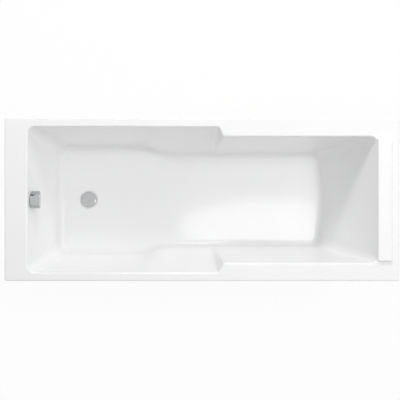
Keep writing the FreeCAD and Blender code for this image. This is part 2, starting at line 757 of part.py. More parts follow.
def foot_pad(x, y):
    """Plastic foot with a socket for the stud."""
    bore = STUD_RADIUS + RUN_GAP
    pad = turned([(0, 0), (PAD_RADIUS, 0), (PAD_RADIUS, PAD_PLATE - PAD_CHAMFER),
                  (PAD_RADIUS - PAD_CHAMFER, PAD_PLATE), (PAD_BOSS_RADIUS + PAD_BOSS_TAPER, PAD_PLATE),
                  (PAD_BOSS_RADIUS, PAD_HEIGHT), (bore, PAD_HEIGHT), (bore, PAD_FLOOR), (0, PAD_FLOOR)])
    pad.translate(V(x, y, 0))
    return pad


def bracket_screw_places():
    """Where the brackets' screws enter the wall-side batten."""
    places = []
    for number in range(2):
        for sign in (-1, 1):
            y = LIP_INNER_Y - BRACKET_STAND - BRACKET_LEG / 2 - BRACKET_THICK
            places.append((BRACKET_X[number] + sign * BRACKET_SCREW_PITCH / 2, y))
    return places


def wall_bracket(number):
    """Stepped steel strip, screwed under the batten, whose plate stands flush with the bath's edge."""
    x0 = BRACKET_X[number] - BRACKET_WIDTH / 2
    x1 = BRACKET_X[number] + BRACKET_WIDTH / 2
    top = RIM_UNDER - BATTEN_THICK
    inner = LIP_INNER_Y - BRACKET_STAND
    shelf = RIM_HEIGHT - LIP_HEIGHT - BRACKET_DROP
    wall = BATH_WIDTH / 2
    leg = box(x0, x1, inner - BRACKET_LEG, inner, top - BRACKET_THICK, top)
    upright = box(x0, x1, inner - BRACKET_THICK, inner, shelf - BRACKET_THICK, top)
    jog = box(x0, x1, inner - BRACKET_THICK, wall, shelf - BRACKET_THICK, shelf)
    plate = box(x0, x1, wall - BRACKET_THICK, wall, shelf - BRACKET_PLATE, shelf)
    bracket = leg.fuse([upright, jog, plate]).removeSplitter()
    holes = [Part.makeCylinder(WALL_HOLE_RADIUS, BRACKET_THICK + 2 * OVERRUN,
                               V(BRACKET_X[number], wall + OVERRUN, shelf - WALL_HOLE_DROP), V(0, -1, 0))]
    for x, y in bracket_screw_places():
        holes.append(cylinder(SCREW_RADIUS + SCREW_HOLE_GAP, top - BRACKET_THICK - OVERRUN, top + OVERRUN, x, y))
    return bracket.cut(holes)


def bracket_screws():
    """Screws that hold the wall brackets to the batten."""
    head = RIM_UNDER - BATTEN_THICK - BRACKET_THICK
    return Part.Compound([wood_screw(x, y, head) for x, y in bracket_screw_places()])


def waste_top_seal():
    """Flat seal between the waste flange and the floor."""
    return placed(ring(FLANGE_RADIUS - FLANGE_EDGE, WASTE_HOLE_RADIUS, SEAT_TOP, FLANGE_UNDER), WASTE_PLACE)


def waste_flange():
    """Flange with a threaded neck and a spider that guides the plug's stem."""
    bore = NECK_RADIUS - NECK_WALL
    low = FLANGE_UNDER - NECK_LENGTH
    flange = turned([(bore, low), (NECK_RADIUS, low), (NECK_RADIUS, FLANGE_UNDER), (FLANGE_RADIUS, FLANGE_UNDER),
                     (FLANGE_RADIUS, FLANGE_TOP - FLANGE_EDGE), (FLANGE_RADIUS - FLANGE_EDGE, FLANGE_TOP),
                     (bore, FLANGE_TOP)])
    top = FLANGE_TOP - GUIDE_DROP
    foot = top - GUIDE_HEIGHT
    spider = spoked_hub(GUIDE_RADIUS, bore + NECK_WALL / 2, foot, top, SPOKE_HEIGHT)
    guide = cylinder(STEM_RADIUS + RUN_GAP, foot - OVERRUN, top + OVERRUN)
    return placed(flange.fuse(spider).cut(guide).removeSplitter(), WASTE_PLACE)


def spoked_hub(radius, reach, z0, z1, spoke_height):
    """A round hub carried by radial spokes."""
    hub = cylinder(radius, z0, z1)
    spokes = []
    for count in range(SPOKES):
        spoke = box(0, reach, -SPOKE_WIDTH / 2, SPOKE_WIDTH / 2, z0, z0 + spoke_height)
        spoke.rotate(V(), V(0, 0, 1), count * 360 / SPOKES)
        spokes.append(spoke)
    return hub.fuse(spokes)


def waste_plug():
    """Domed metal cap that covers the flange."""
    edge = PLUG_UNDER + PLUG_EDGE_HEIGHT
    skirt = PLUG_RADIUS - PLUG_SKIRT_WALL
    low = PLUG_UNDER - PLUG_SKIRT_DROP
    cap = turned([(0, PLUG_UNDER), (skirt, PLUG_UNDER), (skirt, low), (PLUG_RADIUS, low), (PLUG_RADIUS, edge),
                  (0, edge)])
    cap = cap.fuse(dome(PLUG_RADIUS, edge, PLUG_CROWN)).removeSplitter()
    cap = cap.makeFillet(PLUG_ROUND, circles_at(cap, PLUG_RADIUS, edge))
    socket = cylinder(STEM_RADIUS + RUN_GAP, PLUG_UNDER - OVERRUN, PLUG_UNDER + STEM_SINK)
    return placed(cap.cut(socket), WASTE_PLACE)


def plug_seal():
    """Rubber ring under the cap that closes on the flange."""
    outer = PLUG_RADIUS - PLUG_SKIRT_WALL - RUN_GAP
    low = FLANGE_TOP + BODY_GAP
    return placed(ring(outer, outer - PLUG_SEAL_WIDTH, low, PLUG_UNDER), WASTE_PLACE)


def plug_stem():
    """Stem that slides in the flange's spider and rests on the lever."""
    top = PLUG_UNDER + STEM_SINK
    stem = turned([(0, STEM_BOTTOM), (STEM_TIP_RADIUS, STEM_BOTTOM), (STEM_RADIUS, STEM_BOTTOM + STEM_TIP_LENGTH),
                   (STEM_RADIUS, top), (0, top)])
    return placed(stem, WASTE_PLACE)


def waste_body_seal():
    """Thick seal between the waste body and the underside of the floor."""
    return placed(ring(BODY_FLANGE_RADIUS, WASTE_HOLE_RADIUS, BODY_TOP, SEAT_UNDER), WASTE_PLACE)


def waste_body():
    """Moulded bowl under the floor, with the hose inlet, the lever's housing and the trap spigot."""
    flange_low = BODY_TOP - BODY_FLANGE_THICK
    outside = turned([(0, SPIGOT_END), (SPIGOT_RADIUS, SPIGOT_END), (SPIGOT_RADIUS, BOWL_UNDER),
                      (BOWL_OUTER, BOWL_UNDER), (BOWL_OUTER, flange_low), (BODY_FLANGE_RADIUS, flange_low),
                      (BODY_FLANGE_RADIUS, BODY_TOP), (0, BODY_TOP)])
    inlet = along_x(HOSE_SPIGOT_RADIUS, -BOWL_OUTER - HOSE_SPIGOT_LENGTH, 0, 0, INLET_Z)
    half = HOUSING_WIDTH / 2
    low = HOUSING_TOP - HOUSING_HEIGHT
    housing = box(-half, half, 0, HOUSING_END, low, HOUSING_TOP)
    room = half - HOUSING_WALL
    bores = [
        cylinder(BOWL_RADIUS, BOWL_UNDER + BOWL_FLOOR, BODY_TOP + OVERRUN),
        cylinder(SPIGOT_BORE, SPIGOT_END - OVERRUN, BODY_TOP),
        along_x(HOSE_SPIGOT_RADIUS - HOSE_SPIGOT_WALL, -BOWL_OUTER - HOSE_SPIGOT_LENGTH - OVERRUN, 0, 0, INLET_Z),
        box(-room, room, BOWL_OUTER, HOUSING_END - HOUSING_WALL, low + HOUSING_WALL, HOUSING_TOP - HOUSING_WALL),
        box(-LEVER_WIDTH / 2 - LEVER_SLOT_GAP, LEVER_WIDTH / 2 + LEVER_SLOT_GAP, 0, BOWL_OUTER + RUN_GAP,
            low + HOUSING_WALL, HOUSING_TOP - HOUSING_WALL),
        along_x(PIN_RADIUS + RUN_GAP, -PIN_LENGTH / 2, PIN_LENGTH / 2, PIVOT_Y, PIVOT_Z),
        along_x(CABLE_PORT_RADIUS, -half - OVERRUN, 0, CABLE_Y, HOUSING_Z),
    ]
    return placed(outside.fuse([inlet, housing]).cut(bores), WASTE_PLACE)


def bar(start, end, half_height):
    """A flat bar of the lever's width between two places in the YZ plane, each a Y and a Z."""
    length = math.dist(start, end)
    across = ((start[1] - end[1]) / length * half_height, (end[0] - start[0]) / length * half_height)
    corners = [(start[0] + across[0], start[1] + across[1]), (end[0] + across[0], end[1] + across[1]),
               (end[0] - across[0], end[1] - across[1]), (start[0] - across[0], start[1] - across[1])]
    points = [V(-LEVER_WIDTH / 2, y, z) for y, z in corners]
    return Part.Face(Part.makePolygon(points + points[:1])).extrude(V(LEVER_WIDTH, 0, 0))


def lift_lever():
    """Rocker that lifts the plug's stem when the cable pulls its tail."""
    half = LEVER_WIDTH / 2
    tip, pivot = (0.0, LEVER_TIP_Z), (PIVOT_Y, PIVOT_Z)
    tail = (CABLE_Y, PIVOT_Z + LEVER_TAIL * math.sin(LEVER_TILT))
    rounds = [along_x(LEVER_TIP_RADIUS, -half, half, y, z) for y, z in (tip, tail)]
    hub = along_x(LEVER_HUB_RADIUS, -half, half, PIVOT_Y, PIVOT_Z)
    lever = hub.fuse(rounds + [bar(tip, pivot, LEVER_TIP_RADIUS), bar(pivot, tail, LEVER_TIP_RADIUS)])
    holes = [along_x(PIN_RADIUS + RUN_GAP, -half - OVERRUN, half + OVERRUN, PIVOT_Y, PIVOT_Z),
             along_x(CABLE_PORT_RADIUS, -half - OVERRUN, half + OVERRUN, tail[0], tail[1])]
    return placed(lever.cut(holes), WASTE_PLACE)


def lever_pin():
    """Steel pin that the lever rocks on, held in the bowl's wall."""
    return placed(along_x(PIN_RADIUS, -PIN_LENGTH / 2, PIN_LENGTH / 2, PIVOT_Y, PIVOT_Z), WASTE_PLACE)


def cable_gland():
    """Screwed gland that ends the cable's sheath, standing on Z from its housing's face."""
    nut = hex_nut(2 * GLAND_NUT_RADIUS, CABLE_RADIUS + THREAD_GAP, 0, GLAND_NUT_HEIGHT, 0, 0)
    sleeve = ring(GLAND_RADIUS, CABLE_RADIUS + THREAD_GAP, GLAND_NUT_HEIGHT, GLAND_LENGTH)
    return nut.fuse(sleeve).removeSplitter()


def waste_cable_gland():
    """Gland on the lever's housing, facing the foot end."""
    place = FreeCAD.Placement(V(WASTE_X - HOUSING_WIDTH / 2, CABLE_Y, HOUSING_Z),
                              FreeCAD.Rotation(V(0, 1, 0), -90))
    return placed(cable_gland(), place)


def overflow_cable_gland():
    """Gland under the overflow's cable box, facing down along the foot-end wall."""
    local = FreeCAD.Placement(V(CABLE_BOX_LENGTH / 2, CABLE_Y, ELBOW_AXIS), FreeCAD.Rotation(V(0, 1, 0), 90))
    return placed(cable_gland(), OVERFLOW_PLACE.multiply(local))


def overflow_seal():
    """Seal between the overflow elbow and the back of the foot-end wall."""
    return placed(ring(ELBOW_FLANGE_RADIUS, OVERFLOW_HOLE_RADIUS, ELBOW_FACE, -FOOT_WALL), OVERFLOW_PLACE)


def overflow_elbow():
    """Moulded cup behind the wall, with a spigot for the hose, a cable box and the spindle's bearing."""
    outside = turned([(0, ELBOW_END), (ELBOW_RADIUS, ELBOW_END), (ELBOW_RADIUS, ELBOW_CUP),
                      (ELBOW_FLANGE_RADIUS, ELBOW_CUP), (ELBOW_FLANGE_RADIUS, ELBOW_FACE), (0, ELBOW_FACE)])
    spigot = along_x(HOSE_SPIGOT_RADIUS, 0, ELBOW_RADIUS + HOSE_SPIGOT_LENGTH, 0, ELBOW_AXIS)
    half, deep = CABLE_BOX_LENGTH / 2, CABLE_BOX_HEIGHT / 2
    end = CABLE_Y + GLAND_NUT_RADIUS
    cable_box = box(-half, half, 0, end, ELBOW_AXIS - deep, ELBOW_AXIS + deep)
    room = half - CABLE_BOX_WALL
    bores = [
        cylinder(ELBOW_BORE, ELBOW_END + ELBOW_BACK, ELBOW_FACE + OVERRUN),
        along_x(HOSE_SPIGOT_RADIUS - HOSE_SPIGOT_WALL, 0, ELBOW_RADIUS + HOSE_SPIGOT_LENGTH + OVERRUN, 0,
                ELBOW_AXIS),
        box(-room, room, 0, end - CABLE_BOX_WALL, ELBOW_AXIS - deep + CABLE_BOX_WALL,
            ELBOW_AXIS + deep - CABLE_BOX_WALL),
        along_x(CABLE_PORT_RADIUS, 0, half + OVERRUN, CABLE_Y, ELBOW_AXIS),
    ]
    back = ELBOW_END + ELBOW_BACK
    boss = ring(ELBOW_BOSS_RADIUS, SPINDLE_RADIUS + RUN_GAP, back, back + ELBOW_BOSS_HEIGHT)
    return placed(outside.fuse([spigot, cable_box]).cut(bores).fuse(boss), OVERFLOW_PLACE)


def overflow_rosette():
    """Ring that screws into the elbow from inside the bath and carries the spindle in a spoked hub."""
    inner = SLEEVE_RADIUS - SLEEVE_WALL
    low = ELBOW_CUP - SLEEVE_GRIP
    body = turned([(inner, low), (SLEEVE_RADIUS, low), (SLEEVE_RADIUS, 0), (ROSETTE_RADIUS, 0),
                   (ROSETTE_RADIUS, ROSETTE_THICK - ROSETTE_EDGE), (ROSETTE_RADIUS - ROSETTE_EDGE, ROSETTE_THICK),
                   (inner, ROSETTE_THICK)])
    hub = spoked_hub(HUB_RADIUS, inner + SLEEVE_WALL / 2, low, low + HUB_HEIGHT, HUB_HEIGHT)
    bore = cylinder(SPINDLE_RADIUS + RUN_GAP, low - OVERRUN, OVERRUN)
    return placed(body.fuse(hub).cut(bore).removeSplitter(), OVERFLOW_PLACE)


def knob_spindle():
    """Spindle that joins the knob to the cable drum."""
    low = ELBOW_END + ELBOW_BACK + SPINDLE_END_GAP
    return placed(cylinder(SPINDLE_RADIUS, low, KNOB_FRONT - KNOB_FACE), OVERFLOW_PLACE)


def cable_drum():
    """Grooved drum on the spindle that winds the cable, with a hook hole near its edge."""
    low = ELBOW_AXIS - DRUM_THICK / 2
    high = ELBOW_AXIS + DRUM_THICK / 2
    drum = turned([(SPINDLE_RADIUS + RUN_GAP, low), (DRUM_RADIUS, low), (DRUM_RADIUS, ELBOW_AXIS - DRUM_GROOVE),
                   (DRUM_RADIUS - DRUM_GROOVE, ELBOW_AXIS), (DRUM_RADIUS, ELBOW_AXIS + DRUM_GROOVE),
                   (DRUM_RADIUS, high), (DRUM_BOSS_RADIUS, high), (DRUM_BOSS_RADIUS, high + DRUM_BOSS_HEIGHT),
                   (SPINDLE_RADIUS + RUN_GAP, high + DRUM_BOSS_HEIGHT)])
    place = (DRUM_RADIUS + DRUM_BOSS_RADIUS) / 2
    hook = cylinder(DRUM_HOOK_RADIUS, low - OVERRUN, high + OVERRUN, 0, place)
    return placed(drum.cut(hook), OVERFLOW_PLACE)


def slanted_bar(radius, low, middle):
    """A round bar whose far end is cut at the slant of the knob's face, at one height on its axis."""
    rise = radius * math.tan(math.radians(KNOB_SLANT_DEG))
    bar = cylinder(radius, low, middle + rise + OVERRUN)
    beyond = box(-2 * radius, 2 * radius, -2 * radius, 2 * radius, 0, 2 * radius)
    beyond.rotate(V(), V(0, 1, 0), KNOB_SLANT_DEG)
    beyond.translate(V(0, 0, middle))
    return bar.cut(beyond)


def overflow_knob():
    """Turned metal cap over the overflow hole: flat slanted face, hollow back, inlet slots in its skirt."""
    inside = KNOB_FRONT - KNOB_FACE
    knob = slanted_bar(KNOB_RADIUS, KNOB_BACK, KNOB_FRONT)
    knob = knob.makeFillet(KNOB_ROUND, [edge for edge in knob.Edges if isinstance(edge.Curve, Part.Ellipse)])
    cuts = [slanted_bar(KNOB_RADIUS - KNOB_SKIRT, KNOB_BACK - OVERRUN, inside)]
    slot_reach = slanted_bar(KNOB_RADIUS + OVERRUN, KNOB_BACK - OVERRUN, KNOB_BACK + KNOB_SLOT_DEPTH)
    for count in range(KNOB_SLOTS):
        slot = box(KNOB_RADIUS - 2 * KNOB_SKIRT, KNOB_RADIUS + OVERRUN, -KNOB_SLOT_WIDTH / 2, KNOB_SLOT_WIDTH / 2,
                   KNOB_BACK - OVERRUN, KNOB_FRONT)
        slot.rotate(V(), V(0, 0, 1), KNOB_SLOT_DEG + count * 360 / KNOB_SLOTS)
        cuts.append(slot.common(slot_reach))
    hub = slanted_bar(KNOB_HUB_RADIUS, inside - KNOB_HUB_HEIGHT, KNOB_FRONT - KNOB_FACE / 2)
    socket = cylinder(SPINDLE_RADIUS + RUN_GAP, KNOB_BACK - OVERRUN, inside)
    return placed(knob.cut(cuts).fuse(hub).cut(socket).removeSplitter(), OVERFLOW_PLACE)


def wall_route(start, end):
    """Corners and bend of a run down along the foot-end wall and then level to the waste body.

    Gives the start, the two ends of the bend, the bend's middle and the end.
    """
    down = OVERFLOW_PLACE.Rotation.multVec(V(1, 0, 0))
    corner = start + down * ((end.z - start.z) / down.z)
    turn = math.pi / 2 - FOOT_WALL_LEAN
    reach = HOSE_BEND * math.tan(turn / 2)
    enter = corner - down * reach
    leave = corner + V(1, 0, 0) * reach
    inward = (enter + leave) * 0.5 - corner
    inward.normalize()
    middle = corner + inward * (HOSE_BEND / math.cos(turn / 2) - HOSE_BEND)
    return start, enter, middle, leave, end


def route_wire(route):
    """The route as one wire: a straight run, the bend and a straight run."""
    start, enter, middle, leave, end = route
    return Part.Wire([line([start, enter]), arc([enter, middle, leave]), line([leave, end])])


def tube_along(route, radius):
    """A round solid carried along a route."""
    wire = route_wire(route)
    start, enter = route[0], route[1]
    section = Part.Wire([Part.makeCircle(radius, start, enter - start)])
    return wire.makePipeShell([section], True, False)


def place_along(route, distance):
    """The point and the direction at a distance along a route."""
    start, enter, middle, leave, end = route
    down = (enter - start).normalize()
    turn = math.pi / 2 - FOOT_WALL_LEAN
    first = start.distanceToPoint(enter)
    bend = HOSE_BEND * turn
    if distance <= first:
        return start + down * distance, down
    if distance >= first + bend:
        return leave + V(1, 0, 0) * (distance - first - bend), V(1, 0, 0)
    angle = (distance - first) / HOSE_BEND
    side = V(1, 0, 0) - down * down.x
    side.normalize()
    point = enter + down * (HOSE_BEND * math.sin(angle)) + side * (HOSE_BEND * (1 - math.cos(angle)))
    return point, down * math.cos(angle) + side * math.sin(angle)


def hose_route():
    """Route of the overflow hose, from the elbow's spigot to the waste body's."""
    start = OVERFLOW_PLACE.multVec(V(ELBOW_RADIUS + HOSE_STAND, 0, ELBOW_AXIS))
    return wall_route(start, V(WASTE_X - BOWL_OUTER - HOSE_STAND, 0, INLET_Z))


def hose_circle(route, distance, radius):
    """One cross-section of the hose, with its seam always on the +Y side."""
    point, along = place_along(route, distance)
    side = V(0, 1, 0)
    turn = FreeCAD.Rotation(side, along.cross(side), along, "ZXY")
    circle = Part.Wire([Part.makeCircle(radius)])
    circle.Placement = FreeCAD.Placement(point, turn)
    return circle


def overflow_hose():
    """Ribbed overflow hose with plain cuffs, its bore right through."""
    route = hose_route()
    length = route_wire(route).Length
    ribbed = length - 2 * HOSE_CUFF_LENGTH
    ribs = round(ribbed / HOSE_PITCH)
    pitch = ribbed / ribs
    sections = [(0.0, HOSE_CUFF_RADIUS), (HOSE_CUFF_LENGTH, HOSE_CUFF_RADIUS)]
    for rib in range(ribs):
        for place_share, crest in HOSE_RIB_shares:
            radius = HOSE_CREST if crest else HOSE_ROOT
            sections.append((HOSE_CUFF_LENGTH + (rib + place_share) * pitch, radius))
    sections += [(length - HOSE_CUFF_LENGTH, HOSE_CUFF_RADIUS), (length, HOSE_CUFF_RADIUS)]
    outside = Part.makeLoft([hose_circle(route, distance, radius) for distance, radius in sections], True, True)
    hose = outside.cut(tube_along(route, HOSE_BORE))
    print("hose length", round(length, 1), "ribs", ribs, "volume", round(hose.Volume))
    return hose


def hose_clips():
    """Steel worm-drive clips round both cuffs of the hose."""
    route = hose_route()
    length = route_wire(route).Length
    inner = HOSE_CUFF_RADIUS + THREAD_GAP
    outer = inner + CLIP_THICK
    half = CLIP_HOUSING / 2
    band = ring(outer, inner, -CLIP_WIDTH / 2, CLIP_WIDTH / 2)
    housing = box(inner + CLIP_THICK / 2, outer + CLIP_HOUSING, -half, half, -half, half)
    screw = Part.makeCylinder(CLIP_SCREW_RADIUS, CLIP_SCREW_LENGTH, V(outer + half, -CLIP_SCREW_LENGTH / 2, 0),
                              V(0, 1, 0))
    clip = band.fuse([housing, screw])
    clips = []
    for distance in (CLIP_FROM_END, length - CLIP_FROM_END):
        point, along = place_along(route, distance)
        side = V(0, -1, 0)
        turn = FreeCAD.Rotation(side, along.cross(side), along, "ZXY")
        clips.append(placed(clip, FreeCAD.Placement(point, turn)))
    return Part.Compound(clips)


def bowden_cable():
    """Sheathed pull cable from the overflow's gland to the gland on the lever's housing."""
    reach = CABLE_BOX_LENGTH / 2 + GLAND_LENGTH - GLAND_SINK
    start = OVERFLOW_PLACE.multVec(V(reach, CABLE_Y, ELBOW_AXIS))
    end = V(WASTE_X - HOUSING_WIDTH / 2 - GLAND_LENGTH + GLAND_SINK, CABLE_Y, HOUSING_Z)
    route = wall_route(start, end)
    cable = tube_along(route, CABLE_RADIUS)
    section = math.pi * CABLE_RADIUS * CABLE_RADIUS
    print("cable volume", round(cable.Volume), "by section", round(section * route_wire(route).Length))
    return cable


def union_washer():
    """Flat washer between the waste body and the trap."""
    outer = TRAP_COLLAR_RADIUS
    return placed(ring(outer, outer - UNION_WASHER_WIDTH, COLLAR_TOP, SPIGOT_END), WASTE_PLACE)


def union_nut():
    """Ribbed nut that pulls the trap's collar up to the waste body."""
    inner = SPIGOT_RADIUS + THREAD_GAP
    outer = inner + UNION_WALL
    top = SPIGOT_END + UNION_GRIP
    nut = turned([(DIP_RADIUS + BODY_GAP, UNION_BOTTOM), (outer, UNION_BOTTOM), (outer, top), (inner, top),
                  (inner, COLLAR_UNDER), (DIP_RADIUS + BODY_GAP, COLLAR_UNDER)])
    ribs = ring_of_ribs(UNION_RIBS, outer, UNION_RIB_RADIUS, UNION_BOTTOM, top)
    return placed(nut.fuse(ribs), WASTE_PLACE)


def ring_of_ribs(count, radius, rib_radius, z0, z1):
    """Upright half-round grip ribs round a nut or a cup."""
    ribs = []
    for number in range(count):
        angle = number * 2 * math.pi / count
        ribs.append(cylinder(rib_radius, z0, z1, radius * math.cos(angle), radius * math.sin(angle)))
    return ribs


def trap_body():
    """Trap chamber with its dip tube, and the outlet spigot towards the foot end."""
    bore = DIP_RADIUS - DIP_WALL
    foot = TRAP_TOP - DIP_DROP
    chamber = cylinder(TRAP_RADIUS, TRAP_BOTTOM, TRAP_TOP)
    chamber = chamber.makeFillet(TRAP_ROUND, circles_at(chamber, TRAP_RADIUS, TRAP_TOP))
    outlet = along_x(OUTLET_RADIUS, -TRAP_RADIUS - OUTLET_LENGTH, 0, 0, OUTLET_Z)
    stop = along_x(OUTLET_COLLAR_RADIUS, -TRAP_RADIUS - OUTLET_COLLAR_LENGTH, -TRAP_RADIUS / 2, 0, OUTLET_Z)
    bores = [
        cylinder(TRAP_RADIUS - TRAP_WALL, TRAP_BOTTOM - OVERRUN, TRAP_TOP - TRAP_ROOF),
        along_x(OUTLET_RADIUS - OUTLET_WALL, -TRAP_RADIUS - OUTLET_LENGTH - OVERRUN, 0, 0, OUTLET_Z),
    ]
    collar = cylinder(TRAP_COLLAR_RADIUS, COLLAR_UNDER, COLLAR_TOP)
    dip = cylinder(DIP_RADIUS, foot, COLLAR_TOP)
    body = chamber.fuse([outlet, stop]).cut(bores).fuse([collar, dip])
    return placed(body.cut(cylinder(bore, foot - OVERRUN, COLLAR_TOP + OVERRUN)).removeSplitter(), WASTE_PLACE)


def trap_cup_seal():
    """Ring between the trap chamber and its cup."""
    low = TRAP_BOTTOM - CUP_SEAL_THICK
    return placed(ring(TRAP_RADIUS, TRAP_RADIUS - TRAP_WALL, low, TRAP_BOTTOM), WASTE_PLACE)


def trap_cup():
    """Screwed cup that closes the trap for cleaning."""
    outer = CUP_INNER + CUP_WALL
    shoulder = TRAP_BOTTOM - CUP_SEAL_THICK
    floor = shoulder - CUP_DEPTH
    top = TRAP_BOTTOM + CUP_OVERLAP
    throat = TRAP_RADIUS - CUP_SHOULDER
    cup = turned([(0, floor - CUP_FLOOR), (outer - CUP_FLOOR, floor - CUP_FLOOR), (outer, floor), (outer, top),
                  (CUP_INNER, top), (CUP_INNER, shoulder), (throat, shoulder), (throat, floor), (0, floor)])
    ribs = ring_of_ribs(CUP_RIBS, outer, CUP_RIB_RADIUS, floor, top)
    return placed(cup.fuse(ribs), WASTE_PLACE)


def headrest_x():
    """Middle of the headrest, whose front face is flush with the well's edge."""
    return WELL_HEAD_X + HEADREST_DEPTH / 2


def peg_places():
    """Plan places of the headrest's two pegs."""
    spread = HEADREST_LENGTH / 2 - PEG_INSET
    return [(headrest_x(), -spread), (headrest_x(), spread)]


def crowned_slab(length, width):
    """A slab along X with round shoulders, whose top rises in one arc to its middle."""
    half, low = length / 2, HEADREST_HEIGHT - HEADREST_CROWN
    inner, shoulder = half - HEADREST_ROUND, low - HEADREST_ROUND
    lean = HEADREST_ROUND * math.sqrt(0.5)
    right = [V(half, 0, shoulder), V(inner + lean, 0, shoulder + lean), V(inner, 0, low)]
    left = [V(-point.x, 0, point.z) for point in reversed(right)]
    foot = [V(-half, 0, 0), V(half, 0, 0)]
    edges = [line(foot), line([foot[1], right[0]]), arc(right), arc([right[2], V(0, 0, HEADREST_HEIGHT), left[0]]),
             arc(left), line([left[2], foot[0]])]
    slab = Part.Face(Part.Wire(edges)).extrude(V(0, width, 0))
    slab.translate(V(0, -width / 2, 0))
    return slab


def headrest_pad():
    """Moulded foam headrest, crowned along and across, with sockets for its pegs."""
    across = crowned_slab(HEADREST_DEPTH, HEADREST_LENGTH)
    along = crowned_slab(HEADREST_LENGTH, HEADREST_DEPTH)
    along.rotate(V(), V(0, 0, 1), 90)
    pad = across.common(along)
    pad.translate(V(headrest_x(), 0, RIM_HEIGHT + BODY_GAP))
    sockets = []
    for x, y in peg_places():
        low = RIM_HEIGHT + BODY_GAP
        sockets.append(cylinder(PEG_RADIUS + RUN_GAP, low - OVERRUN, low + PEG_SINK, x, y))
    return pad.cut(sockets)


def headrest_pegs():
    """Pegs moulded into the headrest that push into the rim."""
    top = RIM_HEIGHT + BODY_GAP + PEG_SINK
    low = RIM_HEIGHT - PEG_DROP
    pegs = []
    for x, y in peg_places():
        peg = turned([(0, low), (PEG_RADIUS - PEG_CHAMFER, low), (PEG_RADIUS, low + PEG_CHAMFER), (PEG_RADIUS, top),
                      (0, top)])
        peg.translate(V(x, y, 0))
        pegs.append(peg)
    return Part.Compound(pegs)


def peg_grommets():
    """Rubber grommets in the rim that hold the pegs."""
    bore = PEG_RADIUS + RUN_GAP
    sleeve = PEG_RADIUS + GROMMET_WALL
    foot = RIM_UNDER - GROMMET_FLANGE_THICK
    grommets = []
    for x, y in peg_places():
        grommet = turned([(bore, foot), (sleeve + GROMMET_FLANGE, foot), (sleeve + GROMMET_FLANGE, RIM_UNDER),
                          (sleeve, RIM_UNDER), (sleeve, RIM_HEIGHT), (bore, RIM_HEIGHT)])
        grommet.translate(V(x, y, 0))
        grommets.append(grommet)
    return Part.Compound(grommets)


def all_pieces():
    """Every piece of the bath by its name, in place."""
    plain = (bath_shell, base_board, head_batten, rail_end_caps, rail_screws, leg_washers, leg_nuts,
             bracket_screws, waste_top_seal, waste_flange, waste_plug, plug_seal, plug_stem, waste_body_seal,
             waste_body, lift_lever, lever_pin, waste_cable_gland, overflow_cable_gland, overflow_seal,
             overflow_elbow, overflow_rosette, knob_spindle, cable_drum, overflow_knob, overflow_hose, hose_clips,
             bowden_cable, union_washer, union_nut, trap_body, trap_cup_seal, trap_cup, headrest_pad,
             headrest_pegs, peg_grommets)
    pieces = {make.__name__: make() for make in plain}
    for side, sign in (("front", -1), ("back", 1)):
        pieces["side_batten_" + side] = side_batten(sign)
        pieces["foot_batten_" + side] = foot_batten(sign)
    for end in RAIL_X:
        pieces["leg_rail_" + end] = leg_rail(end)
    for name, x, y, top in foot_places():
        pieces["foot_stud_" + name] = foot_stud(x, y, top)
        pieces["foot_pad_" + name] = foot_pad(x, y)
    for number in range(2):
        pieces["wall_bracket_" + str(number + 1)] = wall_bracket(number)
    return pieces


os.makedirs("parts", exist_ok=True)
for name, shape in all_pieces().items():
    shape.exportStep("parts/" + name + ".step")
    print(name, len(shape.Solids), round(shape.Volume), shape.isValid())
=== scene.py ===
import json
import math

import bmesh
import bpy
import numpy as np
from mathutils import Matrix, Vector

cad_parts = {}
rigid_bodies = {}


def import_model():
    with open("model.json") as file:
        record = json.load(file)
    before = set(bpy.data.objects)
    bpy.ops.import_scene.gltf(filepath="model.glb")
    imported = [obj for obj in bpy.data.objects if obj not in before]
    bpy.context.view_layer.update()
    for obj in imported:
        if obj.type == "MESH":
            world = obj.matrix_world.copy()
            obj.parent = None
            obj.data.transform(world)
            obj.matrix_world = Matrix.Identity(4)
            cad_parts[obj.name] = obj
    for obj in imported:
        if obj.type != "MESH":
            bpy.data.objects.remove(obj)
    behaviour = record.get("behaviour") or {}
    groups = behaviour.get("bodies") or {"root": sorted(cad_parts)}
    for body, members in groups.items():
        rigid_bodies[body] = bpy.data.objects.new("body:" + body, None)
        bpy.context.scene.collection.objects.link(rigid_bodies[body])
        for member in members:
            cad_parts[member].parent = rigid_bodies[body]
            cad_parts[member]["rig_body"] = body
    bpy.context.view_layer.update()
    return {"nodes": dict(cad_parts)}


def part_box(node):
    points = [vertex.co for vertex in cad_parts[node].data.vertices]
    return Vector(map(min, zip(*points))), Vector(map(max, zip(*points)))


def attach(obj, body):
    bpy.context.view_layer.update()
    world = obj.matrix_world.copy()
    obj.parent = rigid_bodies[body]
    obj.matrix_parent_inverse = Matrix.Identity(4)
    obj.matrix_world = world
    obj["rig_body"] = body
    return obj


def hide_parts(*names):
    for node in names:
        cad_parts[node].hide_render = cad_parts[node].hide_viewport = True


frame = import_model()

nodes = frame["nodes"]


# The bath itself: one sheet of white acrylic, vacuum-formed over a mould, with a laminate of resin
# and chopped glass on its back. Rim, turned-down lip and well are one skin without a seam, and only
# the holes for the waste, the overflow and the headrest's pegs are cut into it afterwards.
MM = 0.001

